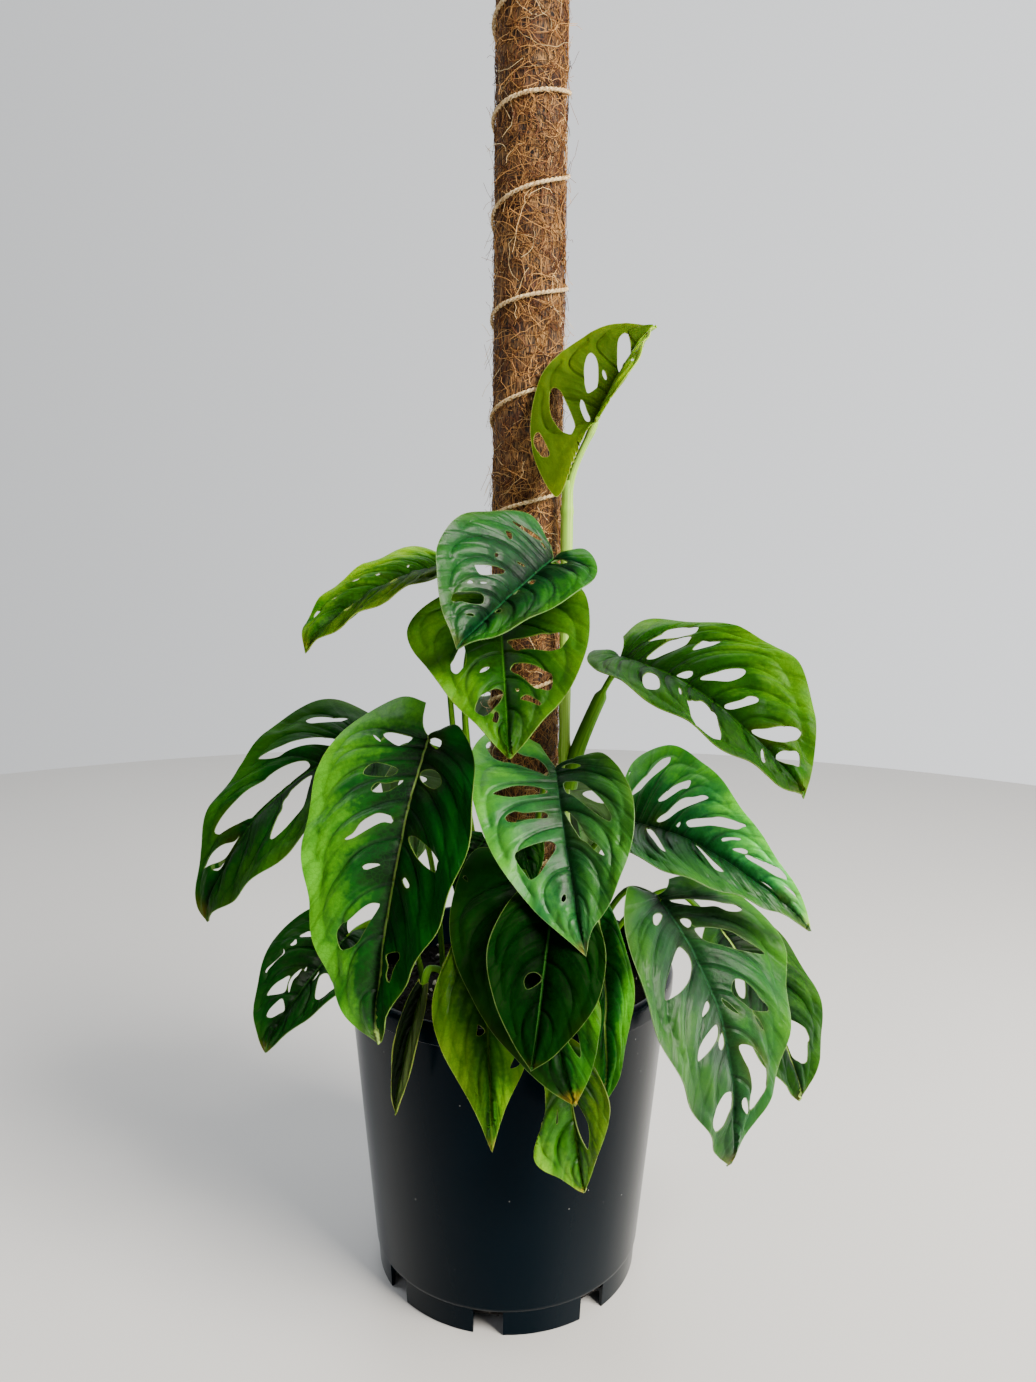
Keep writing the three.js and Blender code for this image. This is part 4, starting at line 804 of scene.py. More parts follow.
def build_piece(name, blocks, materials, sharp=50):
    """One object from blocks of points, faces, UVs, material number and attributes."""
    points, faces, uvs, strips, slots, fields = [], [], [], [], [], {}
    names = sorted({key for block in blocks for key in block.get("fields", {})})
    start = 0
    for block in blocks:
        count = len(block["points"])
        points.append(np.asarray(block["points"], float))
        faces += [tuple(int(k) + start for k in face) for face in block["faces"]]
        uvs.append(np.asarray(block.get("uvs", np.zeros((count, 2))), float))
        strips.append(np.asarray(block.get("strips", uvs[-1]), float))
        slots += [block.get("slot", 0)] * len(block["faces"])
        for key in names:
            value = block.get("fields", {}).get(key, 9.0 if key.endswith("_mm") else 0.0)
            fields.setdefault(key, []).append(np.broadcast_to(np.asarray(value, float), count))
        start += count
    points = (np.vstack(points) + POT_AXIS) / 1000
    mesh = bpy.data.meshes.new(name)
    mesh.from_pydata(points.tolist(), [], faces)
    mesh.polygons.foreach_set("material_index", slots)
    mesh.polygons.foreach_set("use_smooth", [True] * len(faces))
    corners = np.empty(len(mesh.loops), int)
    mesh.loops.foreach_get("vertex_index", corners)
    for map_name, values in (("blade", uvs), ("along_veins", strips)):
        layer = mesh.uv_layers.new(name=map_name)
        layer.data.foreach_set("uv", np.vstack(values)[corners].ravel())
    for key in names:
        attribute = mesh.attributes.new(key, "FLOAT", "POINT")
        attribute.data.foreach_set("value", np.concatenate(fields[key]))
    for material in materials:
        mesh.materials.append(material)
    mesh.update()
    mesh.validate()
    mesh.set_sharp_from_angle(angle=math.radians(sharp))
    return new_object(name, mesh)


def finish_piece(piece, slot, *nodes):
    """Hands a finished piece over: it rides on the body and stands for its nodes. Its slot is not used."""
    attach(piece, "root")
    if nodes:
        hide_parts(*nodes)


def lathe(profile, sides):
    """A block for a closed shape turned from a profile of radius and height, which may end on the axis."""
    points, faces, uvs, rows = [], [], [], []
    for radius, z in profile:
        if radius == 0:
            rows.append([len(points)] * sides)
            points.append((0, 0, z))
            uvs.append((0, z / 100))
            continue
        rows.append(list(range(len(points), len(points) + sides)))
        for s in range(sides):
            turn = s / sides * 2 * math.pi
            points.append((radius * math.cos(turn), radius * math.sin(turn), z))
            uvs.append((s / sides, z / 100))
    for low, high in zip(rows, rows[1:] + rows[:1]):
        for s in range(sides):
            corners = [low[s], low[(s + 1) % sides], high[(s + 1) % sides], high[s]]
            face = list(dict.fromkeys(corners))
            if len(face) > 2:
                faces.append(face)
    return {"points": np.array(points, float), "faces": faces, "uvs": uvs}


# ---- the blade law


class Half:
    """One half of a blade: its outline along the edge, and the law that spreads its veins."""

    def __init__(self, leaf, side):
        self.side, self.veins = side, leaf["veins"]
        self.edge = smooth_path(list(leaf["right" if side > 0 else "left"]) + [(0, 1)], EDGE_STEPS)
        self.holes = [np.array(hole) / 1000 for hole in leaf["holes"] if sum(x for x, _ in hole) * side > 0]

    def flat(self, out, vein):
        """The place on the flat blade of a share of the way out along a vein."""
        out, vein = np.broadcast_arrays(np.asarray(out, float), np.asarray(vein, float))
        share = np.clip(vein / self.veins, 0, 1)
        reach = share ** VEIN["edge_power"] * EDGE_STEPS
        x, y = (np.interp(reach, np.arange(EDGE_STEPS + 1), axis) for axis in self.edge.T)
        start = share ** VEIN["midrib_power"]
        hook = np.clip(share * 6, 0, 1)
        bend = VEIN["first_bend"] + (VEIN["bend"] - VEIN["first_bend"]) * hook
        sweep = VEIN["first_sweep"] + (VEIN["sweep"] - VEIN["first_sweep"]) * hook
        mix = 2 * out * (1 - out)
        across = mix * bend * x + out * out * x
        along = (1 - out) ** 2 * start + mix * (start + sweep * (y - start)) + out * out * y
        return np.stack([self.side * across, along], axis=-1)

    def law(self, flat):
        """The share out and the vein number of places on the flat blade, by a few of Newton's steps."""
        first = np.meshgrid(np.linspace(0, 1, 16), np.linspace(0, self.veins, 60))
        out, vein = (values.ravel() for values in first)
        table = self.flat(out, vein)
        nearest = ((flat[:, None] - table[None]) ** 2).sum(2).argmin(1)
        out, vein = out[nearest], vein[nearest]
        for _ in range(5):
            here = self.flat(out, vein)
            by_out = (self.flat(out + 1e-3, vein) - here) * 1e3
            by_vein = (self.flat(out, vein + 1e-3) - here) * 1e3
            miss = flat - here
            size = by_out[:, 0] * by_vein[:, 1] - by_out[:, 1] * by_vein[:, 0]
            size = np.where(np.abs(size) < 1e-5, 1e-5, size)
            out_step = (miss[:, 0] * by_vein[:, 1] - miss[:, 1] * by_vein[:, 0]) / size
            vein_step = (by_out[:, 0] * miss[:, 1] - by_out[:, 1] * miss[:, 0]) / size
            out = np.clip(out + np.clip(out_step, -0.1, 0.1), 0, 1)
            vein = np.clip(vein + np.clip(vein_step, -0.5, 0.5), 0, self.veins)
        return out, vein

    def vein_lines(self):
        """The side veins that run between the holes, with the basal edge and the tip."""
        rows = []
        for vein in sorted(float(self.law(hole.mean(0)[None])[1][0]) for hole in self.holes):
            if rows and vein - rows[-1][-1] < 0.5:
                rows[-1].append(vein)
            else:
                rows.append([vein])
        marks = [-0.5, *[sum(row) / len(row) for row in rows], self.veins + 0.5]
        lines = []
        for low, high in zip(marks, marks[1:]):
            count = max(1, math.floor(high - low + 0.5))
            lines += [low + (k + 0.5) * (high - low) / count for k in range(count)]
        return [0.0] + [v for v in lines if 0.35 < v < self.veins - 0.45] + [float(self.veins)]


def leaf_axes(leaf):
    """The blade's length and its directions: across, along and up."""
    joint, tip = np.array(leaf["joint"], float), np.array(leaf["tip"], float)
    length = np.linalg.norm(tip - joint)
    along = (tip - joint) / length
    up = np.array(leaf["face"], float)
    up -= up.dot(along) * along
    up /= np.linalg.norm(up)
    return joint, length, np.cross(up, along), along, up


def blade_place(leaf, flat, ripple):
    """Flat places and their ripple, as shares of the length, folded and arched into space."""
    joint, length, across, along, up = leaf_axes(leaf)
    fold = math.radians(leaf["fold"])
    x, y = flat[..., 0], flat[..., 1]
    rise = np.abs(x) * math.sin(fold) + leaf["arch"] * 4 * y * (1 - y) + ripple
    place = x[..., None] * math.cos(fold) * across + y[..., None] * along + rise[..., None] * up
    return joint + length * place


def line_distance(points, lines):
    """The distance from each point to the nearest of the lines, each a row of points."""
    best = np.full(len(points), 1e9)
    for line in lines:
        start, step = line[:-1], np.diff(line, axis=0)
        size = np.maximum((step ** 2).sum(1), 1e-12)
        offset = points[:, None] - start[None]
        share = np.clip((offset * step).sum(2) / size, 0, 1)
        gap = np.linalg.norm(offset - share[..., None] * step, axis=2).min(1)
        best = np.minimum(best, gap)
    return best


def inside(points, loop):
    """Which points lie inside a closed loop."""
    x, y = points[:, 0][:, None], points[:, 1][:, None]
    x0, y0 = loop[:, 0], loop[:, 1]
    x1, y1 = np.roll(x0, -1), np.roll(y0, -1)
    crosses = (y0 > y) != (y1 > y)
    with np.errstate(divide="ignore", invalid="ignore"):
        meets = x < (x1 - x0) * (y - y0) / (y1 - y0) + x0
    return (crosses & meets).sum(1) % 2 == 1


def hole_loop(hole, step):
    """A smooth closed outline through a hole's points, with points a step apart."""
    around = smooth_path(np.vstack([hole[-2:], hole, hole[:2]]), 400)
    first = ((around - hole[0]) ** 2).sum(1)[:200].argmin()
    last = 200 + ((around - hole[0]) ** 2).sum(1)[200:].argmin()
    loop = around[first:last]
    reach = np.linalg.norm(np.diff(loop, axis=0), axis=1).sum()
    return loop[np.linspace(0, len(loop), max(8, int(reach / step)), endpoint=False).astype(int)]


def vein_routes(half):
    """Each side vein's route: out from the midrib, then round and down beside the edge towards the next."""
    turn = np.linspace(0, 1, 48)
    out = 0.87 * (1 - (1 - turn) ** 1.7)
    veins = half.vein_lines()[1:-1]
    return [half.flat(out, np.minimum(vein + 1.15 * turn ** 4, half.veins - 0.02)) for vein in veins]


def paced(path, step):
    """Points a step apart along a path."""
    length = travel(path)[-1]
    return spread(path, np.linspace(0, length, max(2, round(length / step) + 1)))


def blade_sheet(leaf, step):
    """The flat blade as fine triangles that follow its veins, edges and holes.

    It gives the points, the faces, each point's share out and vein number, and the lines by kind.
    """
    halves = [Half(leaf, -1), Half(leaf, 1)]
    points, index, edges = [], {}, []
    loops, veins, margins, holes, borders = [], [], [], [], []

    def add_line(path, near=None):
        keys = []
        for place in path if near is None else path[~near(path)]:
            key = (round(float(place[0]), 4), round(float(place[1]), 4))
            if key not in index:
                index[key] = len(points)
                points.append(place)
            keys.append(index[key])
        edges.extend((a, b) for a, b in zip(keys, keys[1:]) if a != b)

    midrib = paced(halves[0].flat(0, np.linspace(0, leaf["veins"], 200)), step)
    add_line(midrib)
    for half in halves:
        rings = [hole_loop(hole, step * 0.8) for hole in half.holes]
        closed = [np.vstack([ring, ring[:1]]) for ring in rings]
        base = paced(half.flat(np.linspace(0, 1, 60), 0), step)
        outer = paced(half.flat(1, np.linspace(0, half.veins, 400)), step)
        border = np.vstack([base, outer[1:], midrib[::-1][1:-1]])
        firm = [np.vstack([border, border[:1]]), *closed]

        def near(places, gap=0.5 * step):
            hit = line_distance(places, firm) < gap
            for ring in rings:
                hit |= inside(places, ring)
            return hit

        # The edges and holes come first, then the veins between them, then an even spread of points.
        for path in (base, outer, *closed):
            add_line(path)
        routes = vein_routes(half)
        kept = [paced(route, step)[1:] for route in routes]
        for path in kept:
            add_line(path, near)
        low, high = border.min(0), border.max(0)
        rows, columns = np.arange(low[1], high[1], step * 0.87), np.arange(low[0], high[0], step)
        grid = np.array([(x + (row % 2) * step / 2, y) for row, y in enumerate(rows) for x in columns])
        grid = grid[inside(grid, border) & ~near(grid, 0.6 * step)]
        for place in grid[line_distance(grid, kept) > 0.6 * step]:
            add_line([place])
        borders.append(border)
        veins += routes
        margins += [base, outer]
        holes += closed
        loops += rings
    # What lies outside the two halves or inside a hole is dropped, and every face is turned to look up.
    coords, _, faces, _, _, _ = delaunay_2d_cdt([Vector(p) for p in points], edges, [], 0, 1e-7)
    flat = np.array([tuple(p) for p in coords])
    faces = np.array([tuple(face) for face in faces])
    middle = flat[faces].mean(1)
    keep = inside(middle, borders[0]) | inside(middle, borders[1])
    for loop in loops:
        keep &= ~inside(middle, loop)
    faces = faces[keep]
    p, q, r = flat[faces[:, 0]], flat[faces[:, 1]], flat[faces[:, 2]]
    area = (q[:, 0] - p[:, 0]) * (r[:, 1] - p[:, 1]) - (q[:, 1] - p[:, 1]) * (r[:, 0] - p[:, 0])
    faces = np.where((area > 0)[:, None], faces[:, ::-1], faces)
    used = np.unique(faces)
    renumber = np.full(len(flat), -1)
    renumber[used] = np.arange(len(used))
    flat = flat[used]
    out, vein = halves[0].law(flat)
    out_right, vein_right = halves[1].law(flat)
    right = flat[:, 0] > 0
    law = np.stack([np.where(right, out_right, out), np.where(right, vein_right, vein)])
    lines = {"side": veins, "margin": margins, "hole": holes or margins, "rib": [midrib]}
    return flat, renumber[faces], law, lines


def smooth_step(value, low, high):
    """Rises smoothly from 0 at low to 1 at high."""
    share = np.clip((value - low) / (high - low), 0, 1)
    return share * share * (3 - 2 * share)


def field(points, size, seed):
    """A smooth random field, from -1 to 1, over points given in lumps of the given size."""
    return np.array([noise.noise(Vector((x / size[0], y / size[1], seed * 7.3))) for x, y in points]) * 1.6


def blade_block(name, leaf):
    """The blade's two faces and edge: puckered between sunken veins above, ribbed by raised veins below."""
    sizes = bpy.context.scene.vine_sizes
    length = leaf_axes(leaf)[1]
    flat, faces, (out, vein), lines = blade_sheet(leaf, sizes.mesh_step / 100)
    seed = sum(map(ord, name)) % 97
    mm = flat * length
    kinds = ("side", "margin", "hole", "rib")
    side_mm, margin_mm, hole_mm, rib_mm = (
        line_distance(mm, [line * length for line in lines[kind]]) for kind in kinds)
    edge_mm = np.minimum(margin_mm, hole_mm)
    right = flat[:, 0] > 0
    across = np.where(right, out, -out)
    vein_space = np.stack([across * 4, vein], axis=1)
    calm = np.clip(rib_mm / 4, 0, 1) * smooth_step(edge_mm, 0, 5)
    # The blade rises between its veins, waves at its edge and bows across each half.
    quilt = 1 - np.exp(-(side_mm / (0.034 * length)) ** 1.4)
    quilt *= np.sin(np.pi / 2 * np.clip(out * 2.2, 0, 1))
    wave = WAVE["edge"] * np.sin(WAVE["turns"] * vein + leaf["veins"]) * out ** 2
    ripple = wave + WAVE["bulge"] * quilt + WAVE["camber"] * np.sin(np.pi * out ** 0.8)
    # Low relief in millimetres: lumps 26 mm across, folds along the veins and small lumps 7 mm across, then
    # the grooves over the side veins and the midrib, and the rolled edge.
    relief = field(mm, (26, 26), seed) * np.clip(edge_mm / 6 + 0.4, 0, 1)
    relief += (field(vein_space, (1.6, 0.45), seed + 1) * 0.8 * calm
               + field(mm, (7, 7), seed + 2) * 0.25 * calm)
    fade = sizes.quilt * (0.6 + 0.6 * np.clip(field(mm, (18, 18), seed + 6), -1, 1))
    relief -= fade * np.exp(-side_mm / 1.1) + 0.5 * np.exp(-(rib_mm / 1.6) ** 2)
    relief -= 0.35 * np.exp(-edge_mm / 1.4)
    sheet = blade_place(leaf, flat, ripple + relief / length)
    normals = np.zeros_like(sheet)
    cross = np.cross(sheet[faces[:, 1]] - sheet[faces[:, 0]], sheet[faces[:, 2]] - sheet[faces[:, 0]])
    for corner in range(3):
        np.add.at(normals, faces[:, corner], cross)
    normals /= np.maximum(np.linalg.norm(normals, axis=1), 1e-9)[:, None]
    taper = np.clip(1 - flat[:, 1], 0.15, 1)
    # Below, the side veins stand out a little and the midrib more, thinning to the tip.
    ridge = 0.3 * np.exp(-(side_mm / 0.7) ** 2)
    ridge += 0.9 * taper * np.exp(-(rib_mm / 1.2) ** 2) * (edge_mm > 0.3)
    above = sheet + normals * sizes.blade / 2
    below = sheet - normals * (sizes.blade / 2 + ridge)[:, None]
    count = len(sheet)
    # A side that only one face has is an edge of the sheet, and gets a wall.
    edges = {}
    for a, b, c in faces.tolist():
        for pair in ((a, b), (b, c), (c, a)):
            if edges.pop((pair[1], pair[0]), None) is None:
                edges[pair] = True
    walls = [(b, a, a + count, b + count) for a, b in edges]
    turn = smooth_step(mm[:, 0], -2, 2)
    # Depth is painted light and shade. It is set for each half and blended across the midrib.
    pairs = (leaf["lime"], leaf["depth"], leaf.get("gloss", (GLOSS.get(leaf["tone"], 0.08),) * 2))
    bright, depth, gloss = (low + (high - low) * turn for low, high in pairs)
    patches = field(vein_space, (2.4, 0.55), seed + 3) * 0.75 + field(mm, (24, 24), seed + 4) * 0.6
    lime = np.clip(bright * (1.05 + patches), 0, 1) * (1 - 0.35 * np.exp(-side_mm / 2))
    lime *= (1 - 0.5 * np.exp(-hole_mm / 5)) * (1 - 0.6 * np.exp(-rib_mm / (0.08 * length)))
    spots = field(mm, (30, 30), seed + 5)
    yellow = np.clip(smooth_step(flat[:, 1], 0.93, 1) * leaf["yellow"]
                     + np.clip(spots - 0.25, 0, 1) * np.exp(-edge_mm / 2.5) * 0.1, 0, 0.85)
    fields = {"side_mm": side_mm, "rib_mm": rib_mm, "margin_mm": margin_mm, "hole_mm": hole_mm,
              "lime": lime, "yellow": yellow, "out": out, "depth": depth, "gloss": gloss}
    fields = {key: np.r_[value, value] for key, value in fields.items()}
    fields["under"] = np.r_[np.where(right, *leaf.get("turned", (0, 0))[::-1]), np.full(count, 0.8)]
    both = np.vstack([faces, faces[:, ::-1] + count]).tolist() + walls
    strip = np.stack([across * 1.2, vein], axis=1)
    return {"points": np.vstack([above, below]), "faces": both, "uvs": np.vstack([mm, mm]) / 100,
            "strips": np.vstack([strip, strip]), "fields": fields}


def stalk_block(leaf):
    """The stalk: sheathed at its foot, kneed under the blade, and running on as the midrib below it."""
    end = blade_place(leaf, np.array((0.0, 0.025)), np.array(0.0)) - leaf_axes(leaf)[-1] * 0.9
    path = smooth_path([*leaf["stalk"], tuple(end)], 60)
    reach = travel(path)
    left = reach[-1] - reach
    sheath = leaf.get("sheath", 0)
    # It is thicker at the knee, 7 mm short of the blade, and at its foot.
    radii = 1.75 + 0.45 * np.exp(-((left - 7) / 4) ** 2) + 1.1 * np.exp(-reach / 18)
    radii += sheath * (1 - 0.4 * reach / reach[-1]) * smooth_step(left, 22, 27)
    radii = np.where(left < 3, radii * (0.75 + 0.25 * left / 3), radii)
    channel = np.r_[np.tile(np.cos(np.arange(12) / 6 * np.pi), len(path)), 0, 0]
    return {**tube(path, radii, 12), "slot": 1, "fields": {"channel": channel}}


# ---- properties


def colour_property(name, code):
    """A colour that a user may change, from its sRGB hex value."""
    return FloatVectorProperty(name=name.capitalize(), description=f"Colour of the {name}", size=3,
                               default=linear(code)[:3], subtype="COLOR", min=0, max=1)


class VineSizes(bpy.types.PropertyGroup):
    """Sizes of the plant that a user may change."""

    blade: FloatProperty(name="Blade thickness", description="Thickness of a leaf blade in millimetres",
                         default=0.6, min=0.3, max=1.2)
    quilt: FloatProperty(name="Quilting", description="Depth of the grooves over the veins in millimetres",
                         default=0.5, min=0, max=2)
    mesh_step: FloatProperty(name="Mesh step", description="Distance between a blade's points by its length",
                             default=1.2, min=0.8, max=4, subtype="PERCENTAGE")
    fibres: IntProperty(name="Coir fibres", description="Number of fibres of each tone that lie on the pole",
                        default=3500, min=0)
    crumbs: IntProperty(name="Crumbs", description="Number of loose crumbs on the mix", default=1400, min=0)


# Each tone's colours, in the order of PARTS below.
TONES = {
    "young": ("#4c7400", "#547c00", "#84a800", "#90b420", "#b8c858", "#7c9c20"),
    "bright": ("#0a3400", "#1c5e00", "#5c9a04", "#2f6c12", "#88a048", "#547c2c"),
    "fresh": ("#011e08", "#0a5c0c", "#5cb010", "#b8dc70", "#8cac50", "#587c38"),
    "mature": ("#021e04", "#0c4a08", "#408408", "#2a5e20", "#7c9c50", "#4c6c3c"),
    "deep": ("#011e0c", "#0c4c1c", "#34880c", "#1c5c30", "#84a45c", "#4c7050"),
    "blue": ("#063010", "#1e5e28", "#489018", "#2c5c38", "#90b070", "#5c8058"),
    "olive": ("#072c00", "#205700", "#6c9600", "#446a10", "#98a848", "#688044"),
}
# How glossy a tone's wax is, where the leaf itself doesn't say.
GLOSS = {"blue": 0.36, "deep": 0.34, "fresh": 0.2}
PARTS = {
    "dark": "darker tissue", "light": "lighter tissue", "glow": "bright patches", "vein": "midrib",
    "rim": "margin and tip", "pale": "underside",
}


class VineColours(bpy.types.PropertyGroup):
    """Colours of the plant that a user may change."""

    pot: colour_property("pot", "#000c14")
    pot_dust: colour_property("dust on the pot", "#161c22")
    # Both tones of the mix are darkened nearly to black, past the mix's own dark brown, as painted shade for
    # the shadow of the leaves over it.
    mix_dark_and_painted_shade: colour_property("darker potting mix", "#020202")
    mix_light_and_painted_shade: colour_property("lighter potting mix", "#120c08")
    perlite: colour_property("perlite in the mix", "#c9c4b6")
    # The darkest coir also fills the gaps between the pole's hairs as painted shade.
    coir_dark_and_gap_shade: colour_property("darkest coir", "#0e0502")
    coir_brown: colour_property("brown coir", "#623615")
    coir_light: colour_property("light coir", "#cb9552")
    coir_pale: colour_property("palest coir fibres", "#ffe2a6")
    twine_dark: colour_property("darker twine", "#a8814c")
    twine_light: colour_property("lighter twine", "#f2dcae")
    leaf_tip: colour_property("old leaf tips", "#c0a024")
    stalk: colour_property("leaf stalks", "#66a000")
    stalk_streak: colour_property("streaks on the stalks", "#3c7400")
    stem: colour_property("stems", "#8cc42e")
    stem_streak: colour_property("streaks on the stems", "#b8da6a")


for tone_name, codes in TONES.items():
    for part_name, code in zip(PARTS, codes):
        VineColours.__annotations__[f"{tone_name}_{part_name}"] = colour_property(
            f"{PARTS[part_name]} of a {tone_name} leaf", code)


# ---- operators


class VINE_OT_pot(bpy.types.Operator):
    """Make the moulded nursery pot"""

    bl_idname = "vine.make_pot"
    bl_label = "Pot"

    def execute(self, context):
        pot = build_piece("nursery_pot", [lathe(POT_PROFILE, 160)], [])
        cutters = []
        for k in range(NOTCHES["count"]):
            turn = math.radians(NOTCHES["first_angle"] + 360 * k / NOTCHES["count"])
            bm = bmesh.new()
            size = Matrix.Diagonal((NOTCHES["depth"], NOTCHES["width"], 2 * NOTCHES["height"], 1))
            place = Matrix.Rotation(turn, 4, "Z") @ Matrix.Translation((NOTCHES["radius"], 0, 0)) @ size
            bmesh.ops.create_cube(bm, size=1, matrix=place)
            cutters.append({"points": [tuple(v.co) for v in bm.verts],
                            "faces": [[v.index for v in f.verts] for f in bm.faces]})
            bm.free()
        cutter = build_piece("notch_cutter", cutters, [])
        cut = pot.modifiers.new("notches", "BOOLEAN")
        cut.operation = "DIFFERENCE"
        cut.solver = "EXACT"
        cut.object = cutter
        pot = bake_piece(pot, 32)
        bpy.data.objects.remove(cutter)
        pot.data.materials.append(pot_material())
        finish_piece(pot, "pot_plastic", "pot")
        return {"FINISHED"}


def node_group(name, *numbers):
    """An empty Geometry Nodes tree that takes numbers, a seed and a material, and its inputs and output."""
    inputs = {**dict.fromkeys(numbers, "Float"), "Seed": "Int", "Material": "Material"}
    tree = bpy.data.node_groups.new(name, "GeometryNodeTree")
    tree.interface.new_socket(name="Geometry", in_out="INPUT", socket_type="NodeSocketGeometry")
    for key, kind in inputs.items():
        tree.interface.new_socket(name=key, in_out="INPUT", socket_type="NodeSocket" + kind)
    tree.interface.new_socket(name="Geometry", in_out="OUTPUT", socket_type="NodeSocketGeometry")
    return tree, add_node(tree, "NodeGroupInput").outputs, add_node(tree, "NodeGroupOutput")


def thicken(tree, curves, thickness):
    """Gives a tree's curves a three-sided section, and returns the mesh."""
    section = add_node(tree, "GeometryNodeCurvePrimitiveCircle", {"Resolution": 3, "Radius": thickness},
                       mode="RADIUS").outputs[0]
    return add_node(tree, "GeometryNodeCurveToMesh", {"Curve": curves, "Profile Curve": section}).outputs[0]


def end_tree(tree, mesh, material, result):
    """Ends a tree: its instances are made real and take the material."""
    mesh = add_node(tree, "GeometryNodeRealizeInstances", {"Geometry": mesh}).outputs[0]
    mesh = add_node(tree, "GeometryNodeSetMaterial", {"Geometry": mesh, "Material": material}).outputs[0]
    tree.links.new(mesh, result.inputs[0])
    return tree


def grow(piece, tree, values):
    """Runs a Geometry Nodes tree once over a piece, and keeps what it makes as a plain mesh."""
    modifier = piece.modifiers.new(tree.name, "NODES")
    modifier.node_group = tree
    for item in tree.interface.items_tree:
        if item.in_out == "INPUT" and item.name in values:
            modifier[item.identifier] = values[item.name]
    return bake_piece(piece, 60)


def bake_piece(piece, sharp):
    """The piece with its modifiers made into a plain mesh."""
    piece.update_tag()
    evaluated = piece.evaluated_get(bpy.context.evaluated_depsgraph_get())
    mesh = bpy.data.meshes.new_from_object(evaluated)
    piece.modifiers.clear()
    piece.data = mesh
    mesh.set_sharp_from_angle(angle=math.radians(sharp))
    return piece


